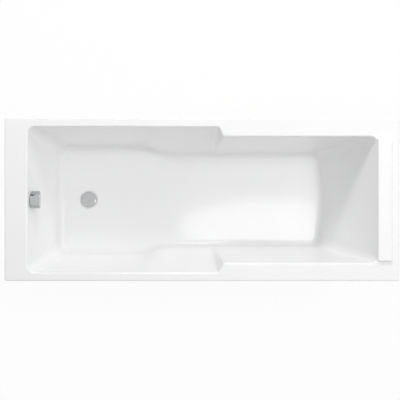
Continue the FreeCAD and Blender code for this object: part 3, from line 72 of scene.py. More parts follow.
# Sizes in millimetres: the outline and the levels, the well's plan at the rim, how far its walls lean
# in, the floor's plan, the rounds, the small eased edges with a guard row beside them, and the holes.
HALF_LONG, HALF_WIDE, OUTER_CORNER = 850.0, 350.0, 9.0
RIM_Z, LIP_Z, FLOOR_Z, SHEET = 570.0, 530.0, 150.0, 6.0
WELL_DROP, FALL = 430.0, math.tan(math.radians(0.6))
WELL_FOOT, WELL_HEAD, WELL_CORNER = -752.0, 757.0, 30.0
SHOWER_HALF, BATHING_HALF = 314.0, 272.0
STEP_START, STEP_RUN, STEP_ROUND = 73.0, 20.0, 12.0
FOOT_LEAN, HEAD_LEAN, SHOWER_LEAN, BATHING_LEAN = 85.0, 224.0, 66.0, 62.0
NECK_START, NECK_END, STEP_FOOT_START, STEP_FOOT_RUN = -314.0, -150.0, 30.0, 40.0
FLOOR_CORNER, BACKREST_CORNER, BACKREST_HOLLOW = 60.0, 45.0, 17.0
BACKREST_POLE_SHARE = 0.6
FLOOR_ROUND, RIM_ROUND, UNDER_ROUND, LIP_ROUND = 30.0, 8.0, 6.0, 5.0
EASE, EASE_SHARE, GUARD = 1.0, 0.3, 3.0
WASTE_X, WASTE_HOLE, SEAT_RADIUS, SEAT_Z, SEAT_EASE = -532.0, 26.0, 41.0, 147.0, 0.4
BOSS_RADIUS, BOSS_Z, BOSS_SIDE, BOSS_EASE = 46.0, 140.0, 2.6, 0.6
OVERFLOW_DROP, OVERFLOW_HOLE, OVERFLOW_BEHIND, OVERFLOW_BEFORE = 50.0, 26.0, 16.0, 8.0
PEG_HOLE, PEG_REACH, PEG_BELOW, PEG_ABOVE = 8.1, 200.0, 20.0, 10.0
HEADREST_X = 787.5
COLUMNS = (24, 16, 24, 8, 8, 4, 8, 16, 24)
HEAD_COLUMNS, FOOT_COLUMNS, CALM_COLUMNS = 40, 20, 16
CREASE, SAME_PLACE = 32.0, 0.002


def unit(arrows):
    """Arrows of length one: each divided by the root of its squares' sum."""
    return arrows / np.linalg.norm(arrows, axis=-1, keepdims=True)


def sweep(poles, t):
    """Curve led by its poles: neighbouring poles are mixed by t until one point is left."""
    points = [np.outer(np.ones_like(t), pole) for pole in np.asarray(poles, float)]
    while len(points) > 1:
        points = [a + (b - a) * t[:, None] for a, b in zip(points, points[1:])]
    return points[0]


def quarter(poles, t):
    """Quarter circle round a corner: its centre plus one leg times a cosine and one times a sine."""
    start, corner, end = np.asarray(poles, float)
    centre = start + end - corner
    turn = t[:, None] * math.pi / 2
    return centre + np.cos(turn) * (start - centre) + np.sin(turn) * (end - centre)


def conic(start, corner, end, weight, t):
    """Conic arc: its ends and their corner mixed by squares of t, with a weight on the corner."""
    shares = (1 - t) ** 2, 2 * weight * t * (1 - t), t ** 2
    return (shares[0] * start + shares[1] * corner + shares[2] * end) / sum(shares)


def step_plan(out):
    """Poles of the step beside the bather at the rim: hollow corner, slanted face and nose."""
    shower, bathing = SHOWER_HALF + out, BATHING_HALF + out
    turn = math.atan2(shower - bathing, STEP_RUN)
    start = STEP_START + out * math.tan(turn / 2)
    hollow = (STEP_ROUND + out) * math.tan(turn / 2)
    nose = STEP_ROUND ** 2 / (STEP_ROUND + out) * math.tan(turn / 2)
    ahead = np.array([math.cos(turn), -math.sin(turn)])
    first, last = np.array([start, shower]), np.array([start + STEP_RUN, bathing])
    return [first - (hollow, 0), first, first + hollow * ahead,
            last - nose * ahead, last, last + (nose, 0)]


def rim_plan(out):
    """Plan of the well at the rim: half of it as curves with their poles, and its head edge."""
    foot, head, near = WELL_FOOT - out, WELL_HEAD + out, WELL_CORNER + out
    shower, bathing = SHOWER_HALF + out, BATHING_HALF + out
    step = step_plan(out)
    half = [(quarter, [(foot, shower - near), (foot, shower), (foot + near, shower)]),
            (sweep, [(foot + near, shower), (NECK_START, shower)]),
            (sweep, [(NECK_START, shower), (NECK_END, shower)]),
            (sweep, [(NECK_END, shower), step[0]]),
            (sweep, step[0:3]), (sweep, step[2:4]), (sweep, step[3:6]),
            (sweep, [step[5], (head - near, bathing)]),
            (quarter, [(head - near, bathing), (head, bathing), (head, bathing - near)])]
    return half, [(head, bathing - near), (head, near - bathing)]


def floor_plan(out, stretch):
    """Plan of the well at the floor, where the neck runs in one S and the backrest's foot is hollow.
    The middle one of the backrest's five poles counts for 6 parts in 16 where the hollow is deepest."""
    foot, head = WELL_FOOT + FOOT_LEAN * stretch - out, WELL_HEAD - HEAD_LEAN * stretch + out
    shower = SHOWER_HALF - SHOWER_LEAN * stretch + out
    bathing = BATHING_HALF - BATHING_LEAN * stretch + out
    near, far, neck = FLOOR_CORNER + out, BACKREST_CORNER + out, (NECK_START + NECK_END) / 2
    step = step_plan(out)
    hollow, face, nose = [np.linalg.norm(step[i + 1] - step[i]) for i in (0, 2, 4)]
    shares = np.cumsum([0, 2 * hollow, face, 2 * nose]) / (2 * hollow + face + 2 * nose)
    feet = [(STEP_FOOT_START + STEP_FOOT_RUN * share, bathing) for share in shares]
    half = [(quarter, [(foot, shower - near), (foot, shower), (foot + near, shower)]),
            (sweep, [(foot + near, shower), (NECK_START, shower)]),
            (sweep, [(NECK_START, shower), (neck, shower), (neck, bathing), (NECK_END, bathing)]),
            (sweep, [(NECK_END, bathing), feet[0]]),
            (sweep, feet[0:2]), (sweep, feet[1:3]), (sweep, feet[2:4]),
            (sweep, [feet[3], (head - far, bathing)]),
            (quarter, [(head - far, bathing), (head, bathing), (head, bathing - far)])]
    side = bathing - far
    lead, deepest = BACKREST_POLE_SHARE * side, head + BACKREST_HOLLOW * 16 / 6
    return half, [(head, side), (head, lead), (deepest, 0), (head, -lead), (head, -side)]


def half_points(half):
    """The columns of half a plan: each curve at even steps of its parameter, its end left to the next."""
    return np.vstack([curve(poles, np.arange(count) / count)
                      for (curve, poles), count in zip(half, COLUMNS)])


def closed_line(half, head):
    """A whole plan: the half, the head edge, the half mirrored back, and a straight foot edge."""
    back = np.vstack([half, head[:1]])[:0:-1] * (1, -1)
    foot = sweep([half[0] * (1, -1), half[0]], np.arange(FOOT_COLUMNS) / FOOT_COLUMNS)
    return np.vstack([half, head[:-1], back, foot])


def level_line(plan, z):
    """A plan's curves as one closed line of points at height z."""
    half, head = plan
    line = closed_line(half_points(half), sweep(head, np.linspace(0, 1, HEAD_COLUMNS + 1)))
    return np.c_[line, np.full(len(line), z)]


def floor_height(points, out):
    """Height of the sloping floor over places in plan, or of its back face at depth out."""
    return FLOOR_Z - out / math.cos(math.atan(FALL)) + FALL * (points[..., 0] - WASTE_X)


def well_lines(out):
    """Edges of the well and the arrows up its wall: the wall is ruled straight from the rim's plan to the
    floor's plan, which lies a little under the floor, and is cut where it meets the floor."""
    deep = WELL_DROP + out
    top = level_line(rim_plan(out), RIM_Z)
    low = level_line(floor_plan(out, deep / WELL_DROP), RIM_Z - deep)
    rise = floor_height(low, out) - low[:, 2]
    share = rise / (deep - FALL * (top[:, 0] - low[:, 0]))
    return top, low + (top - low) * share[:, None], unit(top - low)


def inwards(line):
    """Level arrows square to a closed line, towards the inside of the plan."""
    along = np.roll(line, -1, 0) - np.roll(line, 1, 0)
    return unit(np.stack([along[:, 1], -along[:, 0], np.zeros(len(line))], -1))


def down_floor(line):
    """Arrows along the sloping floor, square to its edge and away from the wall."""
    inside = inwards(line)
    return unit(inside + np.stack([0 * inside[:, 0], 0 * inside[:, 0], FALL * inside[:, 0]], -1))


def edge_round(line, first, second, radius, steps, calm=0):
    """Round along an edge: a conic between the two faces, weighted by the sine of half their angle.
    Its reach over the faces is averaged with that of so many columns on each side."""
    along = unit(np.roll(line, -1, 0) - np.roll(line, 1, 0))
    square = [arrow - (arrow * along).sum(-1, keepdims=True) * along for arrow in (first, second)]
    cosine = (unit(square[0]) * unit(square[1])).sum(-1, keepdims=True)
    half = np.arccos(np.clip(cosine, -1, 1)) / 2
    reach = [radius / np.tan(half) / np.linalg.norm(arrow, axis=-1, keepdims=True) for arrow in square]
    reach = [np.mean([np.roll(far, shift, 0) for shift in range(-calm, calm + 1)], 0) for far in reach]
    t = np.linspace(0, 1, steps + 1)[:, None, None]
    return conic(line + first * reach[0], line, line + second * reach[1], np.sin(half), t)


def between(start, end, shares):
    """Straight rows from one line to another at these shares of the way."""
    return start + (end - start) * np.asarray(shares)[:, None, None]


def rim_outline():
    """Outer edge of the rim as corner centres and outward arrows, column by column with the well."""
    corner = np.arange(COLUMNS[0])[:, None] / COLUMNS[0] * math.pi / 2
    side = half_points(rim_plan(0.0)[0])[COLUMNS[0]:-COLUMNS[-1], 0]
    ahead = (side - side[0]) / (WELL_HEAD - WELL_CORNER - side[0])
    x, y = HALF_LONG - OUTER_CORNER, HALF_WIDE - OUTER_CORNER
    centres = np.vstack([np.tile((-x, y), (len(corner), 1)),
                         np.c_[2 * x * ahead - x, np.full(len(side), y)],
                         np.tile((x, y), (len(corner), 1))])
    arrows = np.vstack([np.c_[-np.cos(corner), np.sin(corner)],
                        np.tile((0.0, 1.0), (len(side), 1)),
                        np.c_[np.sin(corner), np.cos(corner)]])
    head = np.linspace(0, 1, HEAD_COLUMNS + 1)
    return (closed_line(centres, sweep([(x, y), (x, -y)], head)),
            closed_line(arrows, sweep([(1.0, 0.0), (1.0, 0.0)], head)))


def outline_rows(rows):
    """Rows of the rim's outline, each set in from its edge by an inset, at a height."""
    centres, arrows = rim_outline()
    return np.stack([np.c_[centres + arrows * (OUTER_CORNER - inset), np.full(len(centres), z)]
                     for inset, z in rows])


def lip_face(inset, way):
    """One face of the lip, down to its eased edge, which turns in or out by way: insets and heights."""
    eased = EASE_SHARE * EASE
    return np.array([(inset, RIM_Z - RIM_ROUND), (inset, LIP_Z + GUARD), (inset, LIP_Z + EASE),
                     (inset + way * eased, LIP_Z + eased), (inset + way * EASE, LIP_Z)])


def waste_ring(bearing, radius, z):
    """A level circle round the waste, with a point at each column's bearing."""
    return np.stack([WASTE_X + radius * np.cos(bearing), radius * np.sin(bearing), z + 0 * bearing], -1)


def floor_ring(bearing, radius, out=0.0, drop=0.0):
    """Such a circle on the sloping floor, or on its back face at depth out, less a drop."""
    ring = waste_ring(bearing, radius, 0.0)
    ring[:, 2] = floor_height(ring, out) - drop
    return ring


def front_rows():
    """Rows of the acrylic face, from the waste's hole up the wall, over the rim and down the lip."""
    floor_shares = (0, 0.1, 0.3, 0.5, 0.7, 0.9, 0.985)
    wall_shares = (0.008, *np.linspace(0.07, 0.93, 13), 0.992)
    rim_shares = (0.03, 0.35, 0.65, 0.97)
    top, foot, rise = well_lines(0.0)
    floor_round = edge_round(foot, rise, down_floor(foot), FLOOR_ROUND, steps=12, calm=CALM_COLUMNS)[::-1]
    rim_round = edge_round(top, -rise, -inwards(top), RIM_ROUND, steps=8)
    bearing = np.arctan2(floor_round[0][:, 1], floor_round[0][:, 0] - WASTE_X)
    eased = EASE_SHARE * EASE
    seat = [waste_ring(bearing, WASTE_HOLE, SEAT_Z), waste_ring(bearing, SEAT_RADIUS - SEAT_EASE, SEAT_Z),
            waste_ring(bearing, SEAT_RADIUS, SEAT_Z + SEAT_EASE),
            floor_ring(bearing, SEAT_RADIUS, drop=EASE),
            floor_ring(bearing, SEAT_RADIUS + eased, drop=eased), floor_ring(bearing, SEAT_RADIUS + EASE)]
    floor_start = floor_ring(bearing, SEAT_RADIUS + GUARD)
    bend = np.linspace(0, math.pi / 2, 9)
    edge = outline_rows(LIP_ROUND * np.c_[1 - np.sin(bend), np.cos(bend) - 1] + (0, RIM_Z))
    return [np.stack(seat), between(floor_start, floor_round[0], floor_shares), floor_round,
            between(floor_round[-1], rim_round[0], wall_shares), rim_round,
            between(rim_round[-1], edge[0], rim_shares), edge, outline_rows(lip_face(0.0, 1))]


def back_rows():
    """Rows of the laminate, from inside the lip, under the rim, down the back of the wall to the waste."""
    under_shares = (0.04, 0.5, 0.96)
    wall_shares = (0.008, *np.linspace(0.08, 0.92, 9), 0.992)
    floor_shares = (0.015, 0.2, 0.4, 0.6, 0.8, 1.0)
    top, foot, rise = well_lines(SHEET)
    under = top - rise * SHEET / rise[:, 2:]
    rim_round = edge_round(under, -inwards(under), -rise, UNDER_ROUND, steps=5)
    back_round = FLOOR_ROUND + SHEET
    floor_round = edge_round(foot, rise, down_floor(foot), back_round, steps=10, calm=CALM_COLUMNS)
    bearing = np.arctan2(floor_round[-1][:, 1], floor_round[-1][:, 0] - WASTE_X)
    lip = outline_rows([*lip_face(SHEET, -1)[::-1], (SHEET, RIM_Z - SHEET)])
    skirt = floor_ring(bearing, BOSS_RADIUS + SHEET, SHEET)
    boss = [floor_ring(bearing, BOSS_RADIUS + EASE, SHEET),
            waste_ring(bearing, BOSS_RADIUS, BOSS_Z + BOSS_SIDE),
            waste_ring(bearing, BOSS_RADIUS, BOSS_Z + BOSS_EASE),
            waste_ring(bearing, BOSS_RADIUS - BOSS_EASE, BOSS_Z), waste_ring(bearing, WASTE_HOLE, BOSS_Z)]
    return [lip, between(lip[-1], rim_round[0], under_shares), rim_round,
            between(rim_round[-1], floor_round[0], wall_shares), floor_round,
            between(floor_round[-1], skirt, floor_shares), np.stack(boss)]


def grid_mesh(name, points, looped=False):
    """Mesh of a grid in millimetres: four neighbours make a face, and the columns close on themselves."""
    rows, columns = points.shape[:2]
    index = np.arange(rows * columns).reshape(rows, columns)
    index = np.vstack([index, index[:1]]) if looped else index
    after = np.roll(index, -1, axis=1)
    faces = np.stack([index[:-1], after[:-1], after[1:], index[1:]], -1).reshape(-1, 4)
    mesh = bpy.data.meshes.new(name)
    mesh.from_pydata((points.reshape(-1, 3) * MM).tolist(), [], faces.tolist())
    return mesh


def finished(name, mesh, crease=CREASE):
    """A mesh with its doubles joined and faces outwards, smooth up to the crease angle, as an object."""
    work = bmesh.new()
    work.from_mesh(mesh)
    bmesh.ops.remove_doubles(work, verts=work.verts, dist=SAME_PLACE * MM)
    bmesh.ops.recalc_face_normals(work, faces=work.faces)
    work.to_mesh(mesh)
    work.free()
    mesh.shade_smooth()
    mesh.set_sharp_from_angle(angle=math.radians(crease))
    piece = bpy.data.objects.new(name, mesh)
    bpy.context.scene.collection.objects.link(piece)
    return piece


def placed(local, place):
    """Points along a place's own three axes, moved to where the place is."""
    origin, axes = place
    return np.asarray(origin) + local @ np.asarray(axes)


def turned(profile, place, columns=96):
    """Surface of revolution: each radius and height of the profile is carried round the place's axis."""
    angle = np.arange(columns) * 2 * math.pi / columns
    radius, height = np.asarray(profile, float).T
    return placed(np.stack([np.outer(radius, np.cos(angle)), np.outer(radius, np.sin(angle)),
                            np.outer(height, np.ones(columns))], -1), place)


def upright(x, y):
    """A place whose axis stands upright over a point in plan."""
    return (x, y, 0.0), np.eye(3)


def drill(radius, low, high, place):
    """A plain cylinder between two heights along a place's axis."""
    profile = [(0, low), (radius, low), (radius, high), (0, high)]
    return finished("drill", grid_mesh("drill", turned(profile, place)))


def drilled(piece, drills):
    """Cuts the drills out of a piece for good and takes them away."""
    for tool in drills:
        cut = piece.modifiers.new("hole", "BOOLEAN")
        cut.operation, cut.solver, cut.object = "DIFFERENCE", "EXACT", tool
    bpy.context.view_layer.update()
    graph = bpy.context.evaluated_depsgraph_get()
    piece_mesh = bpy.data.meshes.new_from_object(piece.evaluated_get(graph), preserve_all_data_layers=True,
                                                 depsgraph=graph)
    piece.modifiers.clear()
    piece.data = piece_mesh
    piece_mesh.set_sharp_from_angle(angle=math.radians(CREASE))
    for tool in drills:
        bpy.data.objects.remove(tool)


class Shade:
    """A value on its way through a finish's nodes: sums with it add Math nodes to the same tree."""

    def __init__(self, tree, socket=None):
        self.tree, self.socket = tree, socket

    def node(self, kind, settings, inputs, output=0):
        """Any other node: its settings first, then its sockets' values or links; gives one output."""
        made = self.tree.nodes.new("ShaderNode" + kind)
        for setting, value in settings.items():
            setattr(made, setting, value)
        for socket, value in inputs.items():
            if isinstance(value, Shade):
                self.tree.links.new(value.socket, made.inputs[socket])
            else:
                made.inputs[socket].default_value = value
        return Shade(self.tree, made.outputs[output] if made.outputs else None)

    def sum(self, operation, first, second):
        return self.node("Math", {"operation": operation}, {0: first, 1: second})

    def __add__(self, other):
        return self.sum("ADD", self, other)

    def __rsub__(self, other):
        return self.sum("SUBTRACT", other, self)

    def __mul__(self, other):
        return self.sum("MULTIPLY", self, other)

    __radd__, __rmul__ = __add__, __mul__

    def largest(self, first, second, third):
        return self.sum("MAXIMUM", self.sum("MAXIMUM", first, second), third)

    def noise(self, where, scale, detail=2.0):
        return self.node("TexNoise", {}, {"Vector": where, "Scale": scale, "Detail": detail})

    def cells(self, where, scale, channel):
        """Patches with a tone of their own: one channel of each cell's colour."""
        colour = self.node("TexVoronoi", {}, {"Vector": where, "Scale": scale}, "Color")
        return self.node("SeparateColor", {}, {0: colour}, channel)

    def stretched(self, where, scale, turn=(0.0, 0.0, 0.0)):
        return self.node("Mapping", {}, {"Vector": where, "Scale": scale, "Rotation": turn})

    def mix(self, share, first, second):
        return self.node("Mix", {"data_type": "RGBA"}, {0: share, 6: first, 7: second}, 2)

    def ramp(self, share, stops):
        """Colours at stops of the share: a ramp starts with two stops, and the others are added."""
        colour = self.node("ValToRGB", {}, {0: share})
        elements = colour.socket.node.color_ramp.elements
        for count, (place, tint) in enumerate(stops):
            stop = elements[count] if count < 2 else elements.new(place)
            stop.position, stop.color = place, tint
        return colour

    def bump(self, height, strength, distance):
        return self.node("Bump", {}, {"Height": height, "Strength": strength, "Distance": distance})

    def surface(self, inputs):
        skin = self.node("BsdfPrincipled", {}, inputs)
        self.node("OutputMaterial", {}, {"Surface": skin})


def new_finish(name):
    """An empty finish, the start of its nodes and the object's own coordinates."""
    finish = bpy.data.materials.new(name)
    finish.use_nodes = True
    finish.node_tree.nodes.clear()
    start = Shade(finish.node_tree)
    return finish, start, start.node("TexCoord", {}, {}, "Object")


def dressed(piece, finish, slot, *stands_for):
    """Gives a piece its finish, hides the CAD pieces it stands for and lets it ride on their body; the slot
    is not used.
    """
    piece.data.materials.clear()
    piece.data.materials.append(finish)
    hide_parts(*stands_for)
    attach(piece, nodes[stands_for[0]]["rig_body"])
    return piece


def sanitary_acrylic():
    """Glossy white sheet with a faint orange peel; its back is resin with short strands of glass."""
    finish, start, where = new_finish("sanitary_acrylic")
    whites = (0.900, 0.902, 0.903, 1), (0.925, 0.926, 0.925, 1)
    resins = (0.66, 0.62, 0.51, 1), (0.80, 0.78, 0.71, 1)
    strand_ways = (((45.0, 900.0, 110.0), (0.0, 0.4, 0.5)), ((900.0, 50.0, 150.0), (0.5, 0.0, 0.3)),
                   ((110.0, 160.0, 850.0), (0.4, 0.6, 0.0)))
    backing = start.node("Attribute", {"attribute_name": "backing"}, {}, "Fac")
    cloud = start.noise(where, scale=4.0)
    peel = start.noise(where, scale=130.0, detail=1.0)
    strands = [start.noise(start.stretched(where, stretch, turn), scale=1.0, detail=1.0)
               for stretch, turn in strand_ways]
    matting = start.ramp(start.largest(*strands), [(0.52, (0, 0, 0, 1)), (0.72, (1, 1, 1, 1))])
    colour = start.mix(backing, start.mix(cloud, *whites), start.mix(matting, *resins))
    rough = (0.07 + 0.05 * cloud) * (1 - backing) + backing * (0.62 - 0.2 * matting)
    height = (1 - backing) * peel * 0.05 + backing * matting
    start.surface({"Base Color": colour, "IOR": 1.49, "Roughness": rough,
                   "Normal": start.bump(height, strength=0.35, distance=0.0008)})
    return finish


face_rows, laminate_rows = np.concatenate(front_rows()), np.concatenate(back_rows())
skin_mesh = grid_mesh("bath_skin", np.concatenate([face_rows, laminate_rows]), looped=True)
backing_rows = np.r_[np.zeros(len(face_rows) + 1), np.ones(len(laminate_rows) - 1)]
skin_mesh.attributes.new("backing", "FLOAT", "FACE").data.foreach_set(
    "value", np.repeat(backing_rows, face_rows.shape[1]).astype(np.float32))
bath_skin = finished("bath_skin", skin_mesh)
WALL_LEAN = math.atan2(FOOT_LEAN, WELL_DROP)
OVERFLOW = ((WELL_FOOT + OVERFLOW_DROP * math.tan(WALL_LEAN), 0.0, RIM_Z - OVERFLOW_DROP),
            ((math.sin(WALL_LEAN), 0, -math.cos(WALL_LEAN)), (0, 1, 0),
             (math.cos(WALL_LEAN), 0, math.sin(WALL_LEAN))))
holes = [drill(OVERFLOW_HOLE, -OVERFLOW_BEHIND, OVERFLOW_BEFORE, OVERFLOW)]
for side in (-PEG_REACH, PEG_REACH):
    holes.append(drill(PEG_HOLE, RIM_Z - PEG_BELOW, RIM_Z + PEG_ABOVE, upright(HEADREST_X, side)))
drilled(bath_skin, holes)
dressed(bath_skin, sanitary_acrylic(), "acrylic", "bath_shell")


# The base board: a chipboard panel glued flat under the floor, which spreads the bather's weight over
# the two rails. It is a raw panel of pressed flakes, sawn to shape, so it stays as the CAD has it.
def pressed_flakes():
    """Raw chipboard: flat flakes of two sizes in many tans, their outlines bent by a noise."""
    finish, start, where = new_finish("pressed_flakes")
    tans = [(0.1, (0.36, 0.25, 0.14, 1)), (0.9, (0.74, 0.60, 0.42, 1)), (0.5, (0.60, 0.46, 0.29, 1))]
    bend = (0.012, 0.012, 0.012)
    flat = start.stretched(where, (1.0, 1.0, 2.2))
    wobble = start.node("TexNoise", {}, {"Vector": flat, "Scale": 60.0, "Detail": 2.0}, "Color")
    bent = start.node("VectorMath", {"operation": "MULTIPLY_ADD"}, {0: wobble, 1: bend, 2: flat})
    coarse, fine = start.cells(bent, scale=160.0, channel=0), start.cells(bent, scale=420.0, channel=1)
    tone = coarse * 0.6 + fine * 0.4
    start.surface({"Base Color": start.ramp(tone, tans), "Roughness": 0.75 + 0.2 * tone,
                   "Normal": start.bump(tone, strength=0.5, distance=0.0006)})
    return finish


nodes["base_board"].data.materials.clear()
nodes["base_board"].data.materials.append(pressed_flakes())


# Five battens of sawn softwood, glued under the rim's ledges and glassed in. Their edges are eased
# with a plane so that they lie close to the laminate.
BATTEN_EASE, LEAST_CORNER = 1.2, 0.02


def box_outline(half_x, half_y, corner, columns=8, across=0, along=0):
    """Rectangle with round corners, centred: quarter circles at even angles, joined by even straight
    steps, so many across X and so many along Y."""
    angle = np.linspace(0, math.pi / 2, columns)
    arrows = np.stack([np.cos(angle), np.sin(angle)], -1)
    centre = np.array([half_x - corner, half_y - corner])
    turns = [((1, 1), 1), ((-1, 1), -1), ((-1, -1), 1), ((1, -1), -1)]
    bends = [((centre + arrows * corner) * signs)[::way] for signs, way in turns]
    sides = [np.linspace(here[-1], after[0], count + 2)[1:-1]
             for here, after, count in zip(bends, bends[1:] + bends[:1], (across, along, across, along))]
    return np.vstack([part for pair in zip(bends, sides) for part in pair])


def eased_block(low, high, ease):
    """Block with eased edges: box outlines rise from a point under it, over its sides, to a point on it."""
    middle, half = (low + high) / 2, (high - low) / 2
    rows = []
    for bend in np.linspace(0, math.pi / 2, 4):
        inset, drop = ease - ease * math.sin(bend), ease - ease * math.cos(bend)
        outline = box_outline(half[0] - inset, half[1] - inset, max(ease - inset, LEAST_CORNER))
        rows.append(np.c_[outline, np.full(len(outline), drop - half[2])])
    rows = rows + [row * (1, 1, -1) for row in reversed(rows)]
    return middle + np.stack([rows[0] * (0, 0, 1), *rows, rows[-1] * (0, 0, 1)])


def sawn_softwood(name, along):
    """Softwood sawn along X or Y: year rings as long bands, finer fibres and a rough saw cut."""
    finish, start, where = new_finish(name)
    tans = [(0.15, (0.70, 0.52, 0.32, 1)), (0.9, (0.47, 0.29, 0.14, 1)), (0.6, (0.64, 0.45, 0.26, 1))]
    band_way = (1.2, 26.0, 26.0) if along == "X" else (26.0, 1.2, 26.0)
    fineness, ring_count = 9.0, 9.0
    fibre_way = tuple(fineness * scale for scale in band_way)
    bands = start.noise(start.stretched(where, band_way), scale=2.6, detail=3.0)
    rings = start.sum("FRACT", bands * ring_count, 0.0)
    fibre = start.noise(start.stretched(where, fibre_way), scale=2.0, detail=3.0)
    tone = rings * 0.55 + fibre * 0.45
    start.surface({"Base Color": start.ramp(tone, tans), "Roughness": 0.62 + 0.2 * fibre,
                   "Normal": start.bump(tone, strength=0.3, distance=0.0005)})
    return finish


wood_along = {"X": sawn_softwood("softwood_side", "X"), "Y": sawn_softwood("softwood_end", "Y")}
for batten, way in (("side_batten_front", "X"), ("side_batten_back", "X"), ("head_batten", "Y"),
                    ("foot_batten_front", "Y"), ("foot_batten_back", "Y")):
    low, high = (np.array(corner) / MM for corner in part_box(batten))
    piece = finished(batten + "_sawn", grid_mesh(batten, eased_block(low, high, BATTEN_EASE)))
    dressed(piece, wood_along[way], "timber", batten)


# The leg frame: two channels folded from zinc-plated sheet, screwed up into the board, with washers
# and nuts for the feet, and two stepped strips of the same sheet that fix the bath to the wall. The
# clips on the overflow's hose are plated alike.
def joined_copy(node):
    """The CAD piece's own surface: its loose triangles joined and shaded smooth up to the crease."""
    mesh = nodes[node].data.copy()
    for layer in ("custom_normal", "sharp_face", "sharp_edge"):
        if layer in mesh.attributes:
            mesh.attributes.remove(mesh.attributes[layer])
    return finished(node + "_fine", mesh)


def zinc_plate():
    """Zinc on steel: patches of crystal a few millimetres wide, with a dull bloom over them."""
    finish, start, where = new_finish("zinc_plate")
    greys = (0.46, 0.47, 0.49, 1), (0.74, 0.75, 0.77, 1)
    crystal = start.cells(where, scale=190.0, channel=0)
    bloom = start.noise(where, scale=28.0, detail=4.0)
    start.surface({"Base Color": start.mix(crystal * 0.6 + bloom * 0.4, *greys), "Metallic": 1.0,
                   "Roughness": 0.24 + 0.22 * bloom + 0.08 * crystal,
                   "Normal": start.bump(bloom, strength=0.1, distance=0.0004)})
    return finish


zinc = zinc_plate(), "zinc_steel"
for node in ("leg_rail_foot_end", "leg_rail_head_end", "rail_screws", "leg_washers", "leg_nuts",
             "wall_bracket_1", "wall_bracket_2", "bracket_screws", "hose_clips"):
    dressed(joined_copy(node), *zinc, node)


# Four feet: a stud with a rolled thread in a moulded pad, and plugs of the same plastic in the rails'
# open ends. Each stud is screwed through its rail and sets the height of one corner.
STUD_RADIUS, STUD_PITCH, STUD_END = 6.0, 1.75, 1.2
THREAD_DEPTH, THREAD_STRETCH, THREAD_CREASE = 0.95, 1.4, 60.0
PAD_RADIUS, PAD_SOLE, PAD_SHOULDER, PAD_COLLAR, PAD_NECK, PAD_BORE = 26.0, 24.0, 24.5, 13.2, 11.0, 6.05
PAD_SIDE_LOW, PAD_SIDE_HIGH, PAD_FLANGE, PAD_HEIGHT, PAD_BORE_LOW = 0.8, 5.6, 7.0, 30.0, 4.0
SOLE_ROUND, SIDE_ROUND, COLLAR_ROUND, NECK_ROUND, BORE_ROUND = 0.4, 0.6, 2.5, 1.2, 0.3


def moulded(name, colours, rough):
    """Moulded plastic: a fine spark-eroded grain, with slight clouds of tone and gloss from the mould."""
    finish, start, where = new_finish(name)
    cloud = start.noise(where, scale=14.0, detail=3.0)
    fine = start.noise(where, scale=700.0, detail=1.0)
    start.surface({"Base Color": start.mix(cloud, *colours),
                   "Roughness": rough + 0.12 * cloud + 0.08 * fine,
                   "Normal": start.bump(fine, strength=0.12, distance=0.0003)})
    return finish


def rounded(corners, steps=5):
    """Profile through corners of radius, height and round: each round is a conic between its two sides."""
    corners = np.asarray([(*corner, 0.0)[:3] for corner in corners], float)
    points, t = [corners[:1, :2]], np.linspace(0, 1, steps + 1)[:, None]
    for before, corner, after in zip(corners, corners[1:], corners[2:]):
        sides = unit(np.array([before[:2] - corner[:2], after[:2] - corner[:2]]))
        half = math.acos(np.clip(sides[0] @ sides[1], -1, 1)) / 2
        ends = corner[:2] + sides * corner[2] / math.tan(half)
        bend = conic(ends[0], corner[:2], ends[1], math.sin(half), t)
        points.append(bend if corner[2] else corner[None, :2])
    return np.vstack(points + [corners[-1:, :2]])


def threaded(low, high, columns=24, steps=6):
    """Thread: the radius falls by a triangle wave of height over pitch less the turn. The wave is
    stretched about its middle and clipped, which leaves flats, and the stud's ends are bevelled."""
    height = np.arange(low, high, STUD_PITCH / steps)[:, None]
    turn = np.arange(columns)[None] / columns
    wave = np.abs(2 * ((height / STUD_PITCH - turn) % 1) - 1)
    reach = STUD_RADIUS - THREAD_DEPTH * np.clip(THREAD_STRETCH * (wave - 0.5) + 0.5, 0, 1)
    reach = np.minimum(reach, STUD_RADIUS - STUD_END + np.minimum(height - low, high - height))
    points = np.stack([reach * np.cos(2 * math.pi * turn), reach * np.sin(2 * math.pi * turn),
                       height + 0 * turn], -1)
    return np.concatenate([points[:1] * (0, 0, 1), points, points[-1:] * (0, 0, 1)])


pad_blacks = (0.025, 0.025, 0.026, 1), (0.05, 0.05, 0.052, 1)
black_plastic = moulded("black_moulding", pad_blacks, rough=0.38), "black_plastic"
pad_profile = rounded([(0, 0), (PAD_SOLE, 0, SOLE_ROUND), (PAD_RADIUS, PAD_SIDE_LOW, SIDE_ROUND),
                       (PAD_RADIUS, PAD_SIDE_HIGH, SIDE_ROUND), (PAD_SHOULDER, PAD_FLANGE, SIDE_ROUND),
                       (PAD_COLLAR, PAD_FLANGE, COLLAR_ROUND), (PAD_NECK, PAD_HEIGHT, NECK_ROUND),
                       (PAD_BORE, PAD_HEIGHT, BORE_ROUND), (PAD_BORE, PAD_BORE_LOW), (0, PAD_BORE_LOW)])
for corner in ("foot_end_front", "foot_end_back", "head_end_front", "head_end_back"):
    low, high = (np.array(point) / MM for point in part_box("foot_stud_" + corner))
    x, y = (low[:2] + high[:2]) / 2
    stud = grid_mesh("stud", threaded(low[2], high[2]) + (x, y, 0))
    dressed(finished("stud_" + corner, stud, THREAD_CREASE), *zinc, "foot_stud_" + corner)
    pad = grid_mesh("pad", turned(pad_profile, upright(x, y), columns=64))
    dressed(finished("pad_" + corner, pad), *black_plastic, "foot_pad_" + corner)
dressed(joined_copy("rail_end_caps"), *black_plastic, "rail_end_caps")


